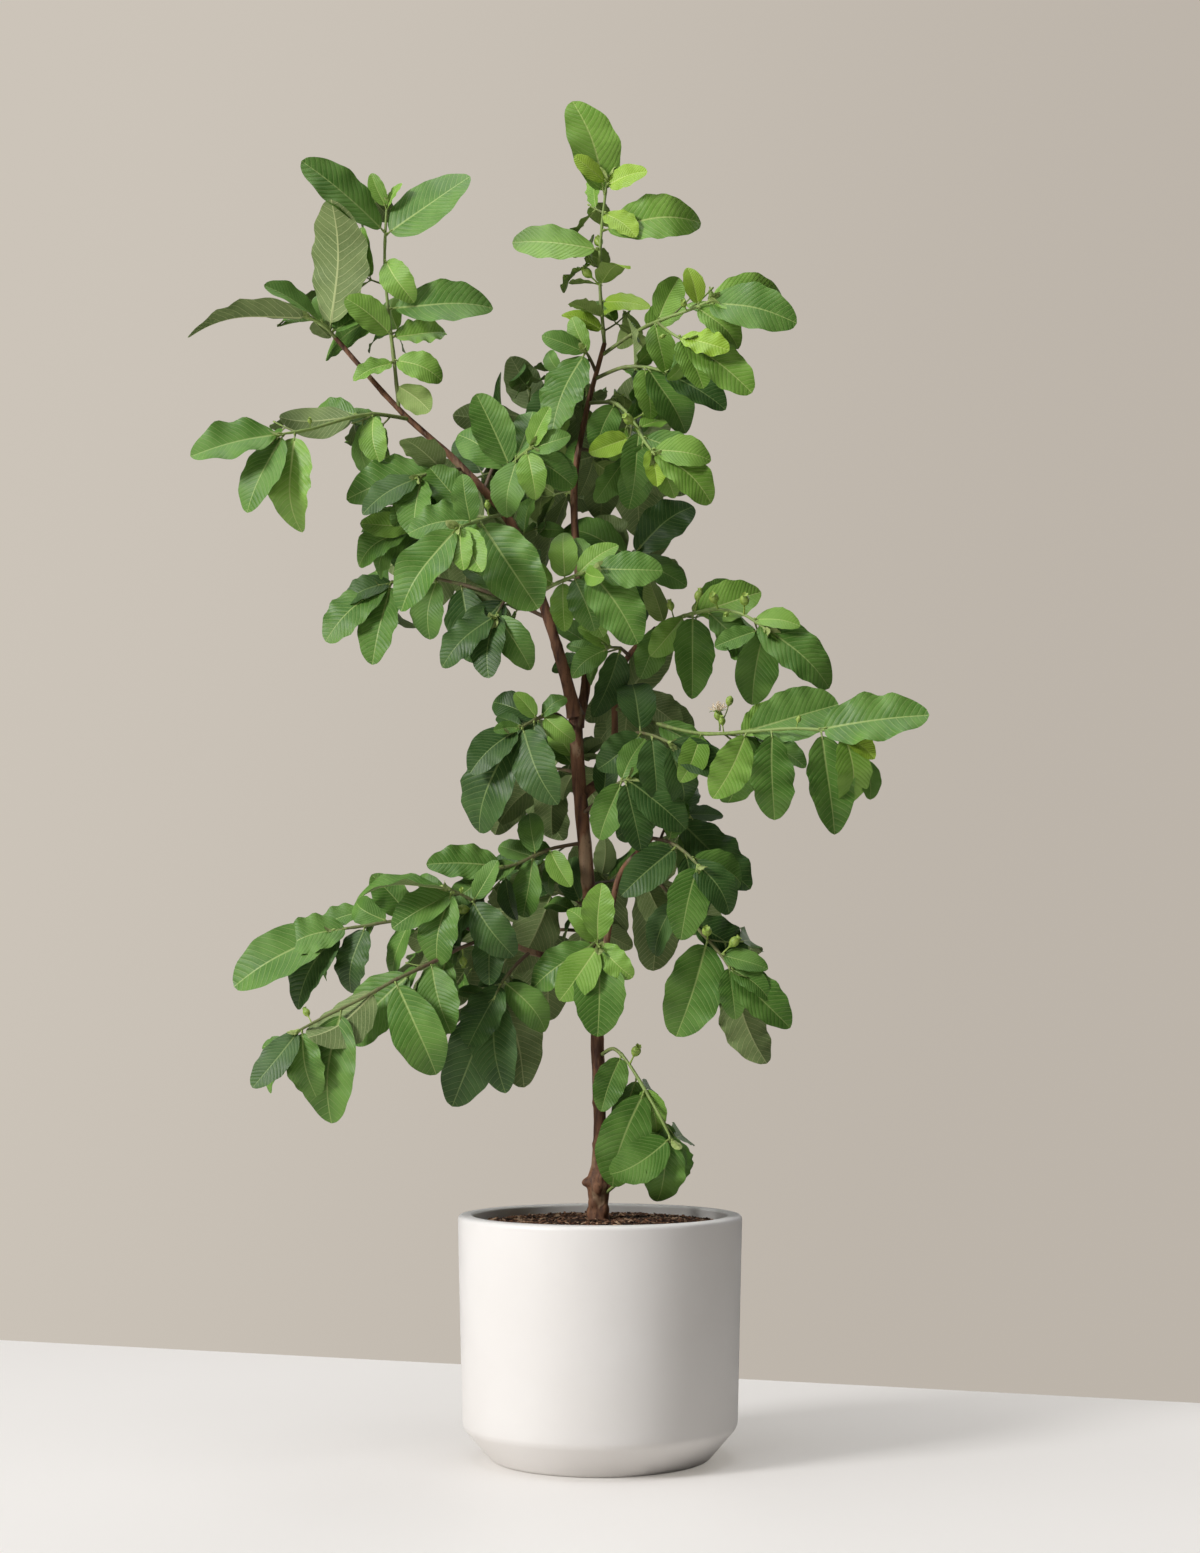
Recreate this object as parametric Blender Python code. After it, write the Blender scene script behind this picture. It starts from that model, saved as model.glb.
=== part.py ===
# A young guava tree in a round white pot. Sizes and places are in millimetres,
# measured from the centre of the pot's flat underside: +X right, +Y back, +Z up.

import math
import random

import bmesh
import bpy
from mathutils import Matrix, Vector
from mathutils.bvhtree import BVHTree

MM = 0.001
GAP = 0.3  # left clear between pieces that touch
UP = Vector((0, 0, 1))

# The pot: a thick wall that widens a little to a flat rim, over a wide bevel at the foot
POT_HEIGHT = 218
RIM_RADIUS = 127
SHOULDER_RADIUS = 123
SHOULDER_HEIGHT = 31
FOOT_RADIUS = 98
POT_WALL = 13.5
POT_FLOOR = 16
EDGE_ROUND = 1.5
POT_SEGMENTS = 32

# The soil: a low mound, flat where the trunk stands
SOIL_EDGE_DROP = 9
SOIL_TOP = 213.5
SOIL_FLAT_RADIUS = 16
SOIL_SEGMENTS = 20

# The limbs: a route from foot to tip, and radii as (share of the route, radius)
LIMBS = {
    "trunk": {
        "route": [(-1, 0, SOIL_TOP + GAP), (-1, 0, 238), (-1, 0, 262), (0, 0, 300), (-2, 0, 364),
                  (-6, 0, 453), (-15, 0, 561), (-20, 1, 623), (-22, 1, 666)],
        "radii": [(0, 9.8), (0.06, 8.4), (0.125, 9.6), (0.17, 11.4), (0.21, 9.8), (0.25, 6.8),
                  (0.34, 5.5), (0.6, 5.7), (0.8, 6.1), (0.94, 6.2), (1, 6)],
        "sides": 10,
        "steps": 24,
    },
    "bough_left": {
        "route": [(-22, 1, 663), (-32, -6, 702), (-44, -14, 742), (-61, -18, 790),
                  (-81, -18, 835), (-128, -14, 888), (-179, -10, 935), (-236, -10, 999)],
        "radii": [(0, 5.6), (0.12, 5.2), (0.6, 3.6), (1, 1.9)],
        "sides": 7,
        "steps": 14,
    },
    "bough_centre": {
        "route": [(-21, 1, 655), (-13, 11, 690), (-12, 14, 733), (-20, 11, 800), (-23, 10, 870),
                  (-13, 12, 935), (4, 12, 1000)],
        "radii": [(0, 4.6), (0.1, 4.5), (0.6, 3.2), (1, 2)],
        "sides": 7,
        "steps": 12,
    },
    "bough_right": {
        "route": [(-16, 0, 592), (5, 16, 613), (13, 20, 645), (14, 18, 689), (26, 12, 719), (50, 0, 742)],
        "radii": [(0, 3.8), (0.2, 3.6), (1, 2)],
        "sides": 6,
        "steps": 12,
    },
    "bough_low_right": {
        "route": [(-5, 0, 430), (5, -12, 458), (11, -16, 494), (20, -20, 525), (47, -28, 553)],
        "radii": [(0, 3.4), (0.2, 3.1), (1, 1.9)],
        "sides": 6,
        "steps": 10,
    },
    "bough_low_left": {
        "route": [(-6, 0, 442), (-26, -6, 443), (-65, -20, 453), (-83, -28, 462), (-106, -38, 466)],
        "radii": [(0, 3.6), (0.2, 3.1), (1, 1.8)],
        "sides": 6,
        "steps": 10,
    },
}

# Leaves, twigs and fruitlets
LEAF_HALF_WIDTH = 0.25  # of its length
LEAF_THICKNESS = 0.012  # of its length
LEAF_STATIONS = ((0, 0), (0.28, 0.92), (0.7, 0.88))  # along the leaf, share of the half width
LEAF_ROOT = 0.95  # half thickness of the stalk where it is sunk in the twig
LEAF_SPACING = 2.6  # between the stalks of the main leaves at one place
LEAF_ARCH = 0.22  # how far the blade bows out between its root and its tip, of the length
LEAF_TRIES = 9
PAIR_TURN = 83  # degrees from one pair of leaves to the next
SHOOT_STEPS = 2  # straight pieces between two points of a shoot's route
SHOOT_SIDES = 4
STEM_RADIUS = (1.8, 1.2)
TWIG_RADIUS = (1.4, 1.1)
FRUIT_PROFILE = ((0, 1), (0.42, 0.9), (0.58, 5.4), (0.84, 5.6), (1, 2))
FRUIT_LENGTH = 25  # with its stalk
FRUIT_SIDES = 5
FLAT_ANGLE = math.radians(0.5)  # triangles nearer than this to one plane are merged
MERGE = 0.0005  # points nearer than this are one
CLEAR = 0.6  # a leaf or twig is skipped where it comes nearer than this to another limb or mass
CROWN_TOP = 1225
CROWN_REACH = 385


def shoot(*route, at=None, pairs=2, size=85, start=0.35, stop=0.8, roll=0, spread=62, hang=0.3,
          leaves=(), fruits=0):
    """A leafy shoot. The first one of a mass starts on its limb, the others at a share of the first one.
    Pairs of leaves grow along it by rule. leaves holds its main ones, each as a bearing in the front view,
    a lean to the front and a length, then a share of the shoot (1) and a turn about its own midrib (0)."""
    return {"route": route, "at": at, "pairs": pairs, "size": size, "start": start, "stop": stop,
            "roll": roll, "spread": spread, "hang": hang, "leaves": leaves, "fruits": fruits}


# The masses of foliage: the limb that carries each, and its shoots
MASSES = {
    "foliage_left_tip": ("bough_left", [
        shoot((-235, -10, 998), (-246, -16, 1009), (-256, -22, 1013), pairs=0, leaves=(
            (84, 12, 118, 0.2, 180), (184, 12, 116, 1, 65), (163, -14, 62, 0.4), (38, -15, 52, 0.3)))]),
    "foliage_left_upright": ("bough_left", [
        shoot((-179, -10, 935), (-183, -14, 978), (-188, -16, 1022), (-191, -18, 1066), (-189, -20, 1112),
              pairs=0, leaves=(
                  (151, 6, 94, 0.84), (34, 6, 92, 0.84), (6, 5, 98, 0.5), (188, -30, 96, 0.5),
                  (153, 10, 52, 0.36), (304, 22, 52, 0.72), (14, -14, 52, 0.36),
                  (338, 15, 50, 0.3), (205, 15, 42, 0.24), (318, 20, 46, 0.14, 180), (115, 15, 32),
                  (70, 15, 28)))]),
    "foliage_left_outer": ("bough_left", [
        shoot((-170, -11, 926), (-200, -30, 926), (-227, -45, 917), (-252, -58, 906), (-276, -70, 899),
              pairs=0, leaves=((196, 10, 82), (243, 10, 80), (264, 4, 92, 0.84), (188, 6, 72, 0.42, 180),
                               (277, 12, 46, 0.24), (166, -25, 50, 0.36)))]),
    "foliage_left_mid": ("bough_left", [
        shoot((-122, -14, 881), (-138, -32, 876),
              (-158, -50, 866), pairs=1, size=56, start=0.5, hang=0.4, leaves=(
            (196, 5, 92, 0.42), (226, 15, 78, 0.3), (214, 10, 62), (262, 20, 60)))]),
    "foliage_left_heart": ("bough_left", [
        shoot((-86, -18, 840), (-97, -58, 829), (-111, -88, 818), (-120, -108, 811), pairs=0, leaves=(
            (303, 10, 96, 0.55), (231, 10, 92, 0.92), (275, 28, 46), (293, 26, 52), (190, 10, 66, 0.5),
            (100, 20, 44, 0.6))),
        shoot((-128, -42, 834), (-168, -24, 826), at=0.3, pairs=1, size=54, hang=0.4, leaves=(
            (208, 5, 62), (222, -8, 60), (245, 5, 62, 0.6), (176, 0, 50)))]),
    "foliage_left_low": ("bough_left", [
        shoot((-46, -14, 748), (-84, -12, 766), (-124, 0, 781), (-166, 10, 790),
              (-190, 16, 784), pairs=0, leaves=(
            (222, 8, 80), (256, 12, 80, 0.96), (200, 0, 56), (261, 10, 58, 0.62),
            (282, 12, 76, 0.44), (311, 8, 68, 0.5, 180), (232, 15, 72, 0.24), (120, -15, 60, 0.7))),
        shoot((-92, -30, 748), at=0.3, pairs=0, leaves=((222, 12, 70), (302, 14, 62), (262, 20, 66)))]),
    "foliage_inner_high": ("bough_left", [
        shoot((-94, -17, 851), (-84, -45, 866), (-72, -66, 878), (-60, -82, 884), pairs=0, leaves=(
            (115, 8, 70, 0.55), (143, -12, 62, 0.5), (62, 20, 40), (15, 25, 42), (280, 15, 46, 0.94),
            (328, 10, 54, 0.8), (255, 20, 56, 0.6), (75, -20, 56, 0.75)))]),
    "foliage_inner_back": ("bough_left", [
        shoot((-103, -16, 862), (-92, 20, 900), (-74, 44, 932),
              (-60, 56, 950), pairs=3, size=64, hang=0.2,
              leaves=((112, -15, 60), (30, -15, 66), (170, 0, 62, 0.7)))]),
    "foliage_crown_top": ("bough_centre", [
        shoot((4, 12, 999), (2, 9, 1022), (0, 6, 1050), (0, 2, 1080), (3, -4, 1112), (6, -9, 1138),
              pairs=2, size=46, start=0.16, stop=0.42, roll=60, hang=0.2, fruits=2, leaves=(
                  (109, 4, 90, 0.93), (146, 25, 38), (14, 20, 40), (9, 8, 98, 0.74), (318, 25, 44, 0.8),
                  (175, 6, 80, 0.62), (196, 10, 44, 0.5), (350, 12, 46, 0.3), (155, 10, 42, 0.1)))]),
    "foliage_crown_right": ("bough_centre", [
        shoot((3, 12, 990), (28, -8, 1002), (50, -28, 1008), (76, -44, 1013),
              (95, -56, 1018), pairs=0, leaves=(
            (8, 2, 74), (340, 12, 86), (104, 5, 36, 0.9), (322, 12, 56, 0.82), (62, 0, 46, 0.55),
            (285, 12, 50, 0.44), (40, -15, 50, 0.4))),
        shoot((62, -50, 992), (72, -58, 984), at=0.55, pairs=0, leaves=((321, 10, 80), (294, 12, 52),
              (340, 25, 52)))]),
    "foliage_centre_right_high": ("bough_centre", [
        shoot((-4, 12, 968), (19, -10, 972), (41, -24, 969), (56, -32, 963), pairs=1, size=46, start=0.5,
              hang=0.3, leaves=((306, 6, 72, 0.72), (329, 10, 68), (52, 10, 48, 0.5), (285, 15, 50, 0.6),
                                (335, 20, 46, 0.4), (8, 0, 44)))]),
    "foliage_centre_right": ("bough_centre", [
        shoot((-10, 12, 946), (13, -8, 941), (29, -24, 922), (38, -38, 902),
              (46, -50, 888), pairs=0, fruits=2, leaves=(
            (320, 8, 72), (352, 10, 56), (268, 12, 62, 0.62), (250, 10, 52, 0.3), (283, 22, 38),
            (258, -15, 66, 0.8),
            (340, 10, 58, 0.7), (30, -10, 46, 0.6), (300, 20, 54, 0.86)))]),
    "foliage_centre_left": ("bough_centre", [
        shoot((-4, 12, 975), (-9, 0, 983), (-13, -9, 987), pairs=0, leaves=((247, 8, 82),
              (160, 10, 44), (112, 5, 38))),
        shoot((-20, 2, 968), (-26, -4, 960), at=0.4, pairs=0, fruits=1, leaves=((225, 12, 56),
              (268, 18, 52)))]),
    "foliage_centre_mid": ("bough_left", [
        shoot((-54, -17, 770), (-40, -40, 774), (-21, -56, 779), (-6, -66, 783), pairs=0, leaves=(
            (358, 14, 64), (303, 10, 80), (95, 8, 46, 0.5), (272, 15, 48, 0.42), (330, 25, 46, 0.8),
            (35, 10, 46, 0.75), (292, 20, 56, 0.6), (150, 15, 38, 0.4)))]),
    "foliage_centre_behind": ("bough_centre", [
        shoot((-18, 12, 782), (1, 32, 795), (18, 34, 807),
              (30, 28, 812), pairs=1, size=60, start=0.5, hang=0.3,
              leaves=((41, 8, 78), (150, -10, 78), (335, 0, 60), (285, 5, 66)))]),
    "foliage_right_high": ("bough_right", [
        shoot((49, 0, 741), (66, -10, 748), (84, -20, 752), (104, -34, 753), (126, -48, 746),
              (143, -58, 733),
              pairs=0, fruits=3, leaves=(
                  (21, 4, 66, 0.44), (112, 8, 46, 0.08, 180), (271, 12, 80, 0.36), (250, 8, 54, 0.14),
                  (313, 10, 76, 0.5),
                  (322, 8, 92, 0.88), (262, -10, 70, 0.95), (334, -2, 52), (352, 15, 44, 0.94),
                  (232, 15, 50, 0.3)))]),
    "foliage_right_arm": ("bough_right", [
        shoot((14, 19, 672), (50, -22, 654), (88, -58, 641), (126, -90, 639), (166, -114, 639),
              (206, -132, 634),
              pairs=0, leaves=(
                  (243, 6, 66, 0.58), (273, 8, 80, 0.74), (279, 6, 92, 0.88), (277, 0, 66),
                  (351, 4, 96, 0.88),
                  (16, 6, 84, 0.62), (320, 15, 38), (265, -22, 76, 0.56), (328, 8, 60, 0.24),
                  (250, 18, 50, 0.42)))]),
    "foliage_right_inner": ("bough_right", [
        shoot((12, 20, 640), (29, -22, 645), (45, -46, 641), (60, -62, 633), pairs=0, leaves=(
            (220, 10, 54, 0.48), (276, 10, 60, 0.75), (292, -15, 68), (95, -25, 72, 0.45),
            (330, 10, 60, 0.95),
            (246, -10, 62, 0.7), (300, 10, 60, 0.9)))]),
    "foliage_right_inner_low": ("trunk", [
        shoot((-17, 0, 575), (2, -24, 588), (14, -42, 598), (24, -52, 602), pairs=0, leaves=(
            (247, 8, 58, 0.8), (322, 5, 70), (292, 10, 66), (352, -8, 56), (60, 0, 44)))]),
    "foliage_low_right": ("bough_low_right", [
        shoot((46, -28, 552), (60, -42, 548), (74, -56, 538), (85, -66, 526), pairs=0, leaves=(
            (221, 8, 68, 0.5), (309, 12, 62, 0.85), (258, 12, 70), (338, -15, 60, 0.9),
            (285, -8, 66, 0.6),
            (70, -12, 44, 0.3))),
        shoot((60, -22, 566), (68, -18, 571), at=0.17, pairs=0, leaves=((317, 0, 92),))]),
    "foliage_low_right_outer": ("bough_low_right", [
        shoot((22, -20, 528), (52, -36, 512), (80, -52, 478), (105, -65, 448),
              (114, -70, 434), pairs=0, fruits=3, leaves=(
            (252, 8, 92, 0.58), (317, 6, 80, 0.86), (289, -6, 88, 0.97, 180), (325, 15, 46),
            (296, -18, 62, 0.14, 180),
            (330, -14, 62, 0.5), (282, 14, 50), (262, -20, 72, 0.4), (350, 0, 44, 0.7)))]),
    "foliage_low_left_upper": ("bough_low_left", [
        shoot((-82, -28, 461), (-95, -48, 480), (-112, -60, 496),
              (-130, -68, 505), pairs=0, fruits=1, leaves=(
            (176, 6, 86, 1, 60), (256, 14, 72, 0.92), (308, 12, 66, 0.65), (265, 8, 60, 0.36),
            (208, 8, 66),
            (60, 8, 42, 0.7), (235, -14, 64, 0.6)))]),
    "foliage_low_left_outer": ("bough_low_left", [
        shoot((-96, -34, 465), (-120, -58, 455), (-146, -74, 441), (-176, -87, 426), (-206, -96, 409),
              (-234, -102, 395), (-256, -106, 383), pairs=0, leaves=(
                  (219, 10, 76, 0.58, 180), (294, 8, 94, 0.5), (226, -16, 92, 0.4),
                  (269, 4, 102, 0.76), (231, 10, 64),
                  (281, 2, 62, 0.98), (286, 14, 66, 0.3), (250, 14, 54), (262, -14, 74, 0.26)))]),
    "foliage_low_left_far": ("bough_low_left", [
        shoot((-105, -38, 466), (-130, -30, 478), (-167, -22, 481), (-207, -24, 475),
              (-234, -28, 471), pairs=1,
              size=62, start=0.45, hang=0.4, leaves=(
                  (207, 6, 106), (196, 10, 68, 0.82), (240, 0, 82), (252, 8, 66, 0.7),
                  (150, -10, 46, 0.6)))]),
    "foliage_low_left_hanging": ("bough_low_left", [
        shoot((-62, -19, 452), (-76, -34, 438), (-86, -42, 424), (-92, -47, 411), pairs=0, leaves=(
            (276, 8, 86), (261, 6, 108), (285, -14, 94, 0.9, 180), (238, 10, 66, 0.6),
            (312, 5, 62, 0.6)))]),
    "foliage_trunk_left_high": ("trunk", [
        shoot((-21, 1, 650), (-38, -24, 662), (-52, -37, 658), (-62, -44, 652),
              (-74, -48, 645), pairs=0, leaves=(
            (244, -10, 104), (266, 8, 68, 0.62), (268, 4, 104, 0.9), (222, 8, 60), (132, 12, 30, 0.6),
            (190, 20, 26),
            (40, 12, 30, 0.5), (320, 15, 38, 0.5)))]),
    "foliage_trunk_left_mid": ("trunk", [
        shoot((-14, 0, 550), (-45, -16, 543), (-72, -26, 530), (-95, -32, 524), pairs=0, leaves=(
            (178, 8, 70, 0.84), (200, 12, 44, 0.6), (218, 10, 52), (300, 12, 40, 0.4),
            (258, -10, 58, 0.5),
            (100, -10, 44, 0.5)))]),
    "foliage_trunk_front": ("trunk", [
        shoot((-7, 0, 456), (-5, -30, 462), (-1, -60, 456), pairs=0, leaves=(
            (235, 14, 62), (270, 12, 82), (213, 2, 74, 0.8), (312, 20, 46), (86, 10, 54),
            (125, 12, 42)))]),
    "foliage_trunk_low_right": ("trunk", [
        shoot((-1, 0, 358), (12, -16, 366), (26, -30, 352), (39, -45, 331), (51, -56, 310),
              (62, -62, 288),
              pairs=0, fruits=1, leaves=(
                  (250, 8, 54, 0.3), (250, 12, 96, 0.55), (290, 5, 44, 0.6), (212, 12, 66), (265, 2, 66),
                  (286, -8, 48), (240, 2, 60, 0.8)))]),
    "foliage_base_sprout": ("trunk", [
        shoot((-1, 0, 232), (13, -12, 244), (25, -20, 256), pairs=0, leaves=((35, 15, 30),
              (115, 10, 24)))]),
    "foliage_trunk_back_low": ("trunk", [
        shoot((-9, 0, 490), (-26, 26, 502), (-43, 42, 509), pairs=1, size=60, hang=0.5, leaves=(
            (243, 0, 84), (150, -20, 70), (280, 0, 72)))]),
    "foliage_back_left": ("bough_left", [
        shoot((-72, -18, 818), (-88, 45, 836), (-116, 106, 850),
              (-140, 148, 854), pairs=4, size=80, hang=0.35,
              start=0.3, leaves=((200, -30, 84), (250, -10, 80)))]),
    "foliage_back_centre": ("bough_centre", [
        shoot((-20, 12, 905), (2, 63, 914), (24, 119, 926), (36, 156, 936), pairs=4, size=74, hang=0.3,
              start=0.3, leaves=((60, -40, 80), (280, -20, 76)))]),
    "foliage_back_right": ("bough_right", [
        shoot((14, 19, 682), (26, 69, 692), (36, 116, 696), (42, 148, 690), pairs=4, size=68, hang=0.5,
              start=0.3, leaves=((290, -30, 76),))]),
    "foliage_back_low_right": ("trunk", [
        shoot((-11, 0, 512), (24, 66, 520), (58, 132, 514), pairs=3, size=80, hang=0.5, start=0.35,
              leaves=((330, -30, 80), (270, -10, 76)))]),
    "foliage_back_low_left": ("trunk", [
        shoot((-7, 0, 470), (-40, 61, 474), (-88, 116, 468), (-130, 150, 456), pairs=4, size=82, hang=0.6,
              start=0.32, leaves=((232, -20, 84),))]),
    "foliage_back_mid": ("trunk", [
        shoot((-19, 1, 612), (-40, 61, 622), (-62, 114, 622), pairs=3, size=72, hang=0.5, start=0.4,
              leaves=((230, -30, 76), (130, -30, 70)))]),
    "foliage_back_high": ("bough_centre", [
        shoot((-23, 10, 862), (-34, 61, 882), (-46, 106, 906), pairs=3, size=76, hang=0.25, start=0.35,
              leaves=((120, -30, 78), (220, -30, 76)))]),
    "foliage_fork": ("bough_right", [
        shoot((26, 12, 719), (18, -6, 723), (8, -17, 722), pairs=0, leaves=(
            (263, 6, 66, 0.5), (214, 12, 46), (150, 14, 36)))]),
}

# name: colour (linear), roughness
FINISHES = {
    "white_pot": ((0.86, 0.84, 0.81), 0.45),
    "dark_soil": ((0.05, 0.028, 0.016), 0.95),
    "guava_bark": ((0.2, 0.1, 0.055), 0.7),
    "guava_leaf": ((0.045, 0.13, 0.012), 0.42),
}


def clear_scene():
    for obj in list(bpy.data.objects):
        bpy.data.objects.remove(obj)


def finish(name):
    material = bpy.data.materials.get(name)
    if material is None:
        colour, roughness = FINISHES[name]
        material = bpy.data.materials.new(name)
        material.use_nodes = True
        shader = material.node_tree.nodes["Principled BSDF"]
        shader.inputs["Base Color"].default_value = (*colour, 1)
        shader.inputs["Roughness"].default_value = roughness
        material.diffuse_color = (*colour, 1)
    return material


def add_object(name, bm, finish_name, collection=None):
    mesh = bpy.data.meshes.new(name)
    bm.to_mesh(mesh)
    bm.free()
    mesh.materials.append(finish(finish_name))
    obj = bpy.data.objects.new(name, mesh)
    (collection or bpy.context.scene.collection).objects.link(obj)
    return obj


def skin(shape):
    """A closed bmesh, in metres, from points in millimetres and faces."""
    points, faces = shape
    bm = bmesh.new()
    verts = [bm.verts.new(point * MM) for point in points]
    for face in faces:
        bm.faces.new([verts[i] for i in face])
    bmesh.ops.recalc_face_normals(bm, faces=bm.faces)
    return bm


def loft(rings):
    """Points and triangles of a closed skin through rings of one length; the last may be a single point."""
    points, faces, starts = [], [], []
    for ring in rings:
        starts.append(len(points))
        points.extend(ring)
    count = len(rings[0])
    for a, b, ring in zip(starts, starts[1:], rings[1:]):
        for i in range(count):
            j = (i + 1) % count
            if len(ring) == 1:
                faces.append((a + i, a + j, b))
            else:
                faces.extend([(a + i, a + j, b + j), (a + i, b + j, b + i)])
    last = starts[-1]
    faces.extend((0, i + 1, i) for i in range(1, count - 1))
    if len(rings[-1]) > 1:
        faces.extend((last, last + i, last + i + 1) for i in range(1, count - 1))
    return points, faces


def smooth(points, steps):
    """A smooth curve through the points, as steps + 1 points spaced evenly by its parameter."""
    points = [Vector(point) for point in points]
    knots = [2 * points[0] - points[1], *points, 2 * points[-1] - points[-2]]
    line = []
    for step in range(steps + 1):
        place = step / steps * (len(points) - 1)
        i = min(int(place), len(points) - 2)
        t = place - i
        a, b, c, d = knots[i:i + 4]
        bend, turn = 2 * a - 5 * b + 4 * c - d, 3 * b - a - 3 * c + d
        line.append(0.5 * (2 * b + (c - a) * t + bend * t ** 2 + turn * t ** 3))
    return line


def frames(line):
    """(point, tangent, side, other side) along a line, with no twist."""
    found, side = [], None
    for i, point in enumerate(line):
        tangent = (line[min(i + 1, len(line) - 1)] - line[max(i - 1, 0)]).normalized()
        if side is None:
            side = tangent.cross(Vector((0.3, 1, 0.2)))
        side = (side - tangent * side.dot(tangent)).normalized()
        found.append((point, tangent, side, tangent.cross(side)))
    return found


def between(table, place):
    """Reads a table of (place, value) at a place."""
    for (low, a), (high, b) in zip(table, table[1:]):
        if place <= high:
            return a + (b - a) * (place - low) / (high - low)
    return table[-1][1]


def tube(line, radii, sides, grow=0.0):
    """A tapering round limb; grow makes its wall and its ends stand out."""
    rings = []
    for i, (point, tangent, side, other) in enumerate(frames(line)):
        share = i / (len(line) - 1)
        end = grow * ((share == 1) - (share == 0))
        radius = between(radii, share) + grow
        turns = [math.tau * k / sides for k in range(sides)]
        centre = point + tangent * end
        rings.append([centre + (side * math.cos(t) + other * math.sin(t)) * radius for t in turns])
    return loft(rings)


def leaf_shape(leaf, grow=0.0, first=0):
    """A bowed blade, flat above and ridged below, from its root in the twig to its point."""
    base, along, face, length = leaf
    side = along.cross(face)
    rings = []
    for place, share in LEAF_STATIONS[first:]:
        centre = base + along * length * place + face * length * LEAF_ARCH * place * (1 - place)
        half = max(length * LEAF_HALF_WIDTH * share, LEAF_ROOT) + grow
        top = grow if place else LEAF_ROOT
        ridge = (length * LEAF_THICKNESS if place else LEAF_ROOT) + grow
        rings.append([centre + side * half + face * top, centre - side * half + face * top,
                      centre - face * ridge])
    rings.append([base + along * (length + grow)])
    return loft(rings)


def fruit_shape(base, along):
    side = along.orthogonal().normalized()
    other = along.cross(side)
    rings = []
    for place, radius in FRUIT_PROFILE:
        turns = [math.tau * k / FRUIT_SIDES for k in range(FRUIT_SIDES)]
        centre = base + along * FRUIT_LENGTH * place
        rings.append([centre + (side * math.cos(t) + other * math.sin(t)) * radius for t in turns])
    return loft(rings)


class Space:
    """What already stands where: the limbs and the pot, and each shoot, leaf and fruitlet as it grows."""

    def __init__(self):
        self.taken = []

    def add(self, shape, owner):
        points, faces = shape
        low = [min(p[i] for p in points) for i in range(3)]
        high = [max(p[i] for p in points) for i in range(3)]
        self.taken.append((low, high, BVHTree.FromPolygons(points, faces), owner))

    def hits(self, shape, skip=()):
        points, faces = shape
        low = [min(p[i] for p in points) for i in range(3)]
        high = [max(p[i] for p in points) for i in range(3)]
        tree = BVHTree.FromPolygons(points, faces)
        for other_low, other_high, other_tree, owner in self.taken:
            apart = any(low[i] > other_high[i] or high[i] < other_low[i] for i in range(3))
            if not apart and owner not in skip and tree.overlap(other_tree):
                return True
        return False


def in_crown(leaf):
    tip = leaf[0] + leaf[1] * leaf[3]
    return SOIL_TOP < tip.z < CROWN_TOP and math.hypot(tip.x, tip.y) < CROWN_REACH


def leaf_face(base, along, tilt, frontal):
    """The way a leaf's upper side looks: up, out from the trunk, and to the nearer of front and back."""
    out = Vector((base.x, base.y, 0)).normalized() if base.xy.length > 1 else Vector((0, -1, 0))
    front = Vector((0, -1 if base.y < 40 else 1, 0))
    wish = 0.4 * UP + 0.4 * out + frontal * front
    face = wish - along * wish.dot(along)
    if face.length < 0.05:
        face = along.orthogonal()
    return Matrix.Rotation(math.radians(tilt), 3, along) @ face.normalized()


def try_leaf(space, rng, mass, base, aim, length, turn=0, loose=0, frontal=1):
    """Tries directions ever further from the wished one and keeps the first that is clear."""
    for attempt in range(LEAF_TRIES):
        turns = [rng.uniform(-1, 1) * (loose + 6 * attempt) for _ in range(3)]
        along = Matrix.Rotation(math.radians(turns[0]), 3, "Z") @ aim
        along = Matrix.Rotation(math.radians(turns[1]), 3, along.orthogonal()) @ along
        shorter = 1 if attempt < LEAF_TRIES - 3 else 0.8
        leaf = (base, along, leaf_face(base, along, turn + 1.6 * turns[2], frontal), length * shorter)
        if not in_crown(leaf) or space.hits(leaf_shape(leaf, CLEAR), skip=(mass, mass + " shoots")):
            continue
        if space.hits(leaf_shape(leaf, CLEAR, first=1)):
            continue
        space.add(leaf_shape(leaf), mass)
        return leaf
    return None


def front_aim(bearing, lean):
    """A direction from its bearing in the front view and its lean towards the front, in degrees."""
    bearing, lean = math.radians(bearing), math.radians(lean)
    return Vector((math.cos(bearing) * math.cos(lean), -math.sin(lean), math.sin(bearing) * math.cos(lean)))


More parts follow.
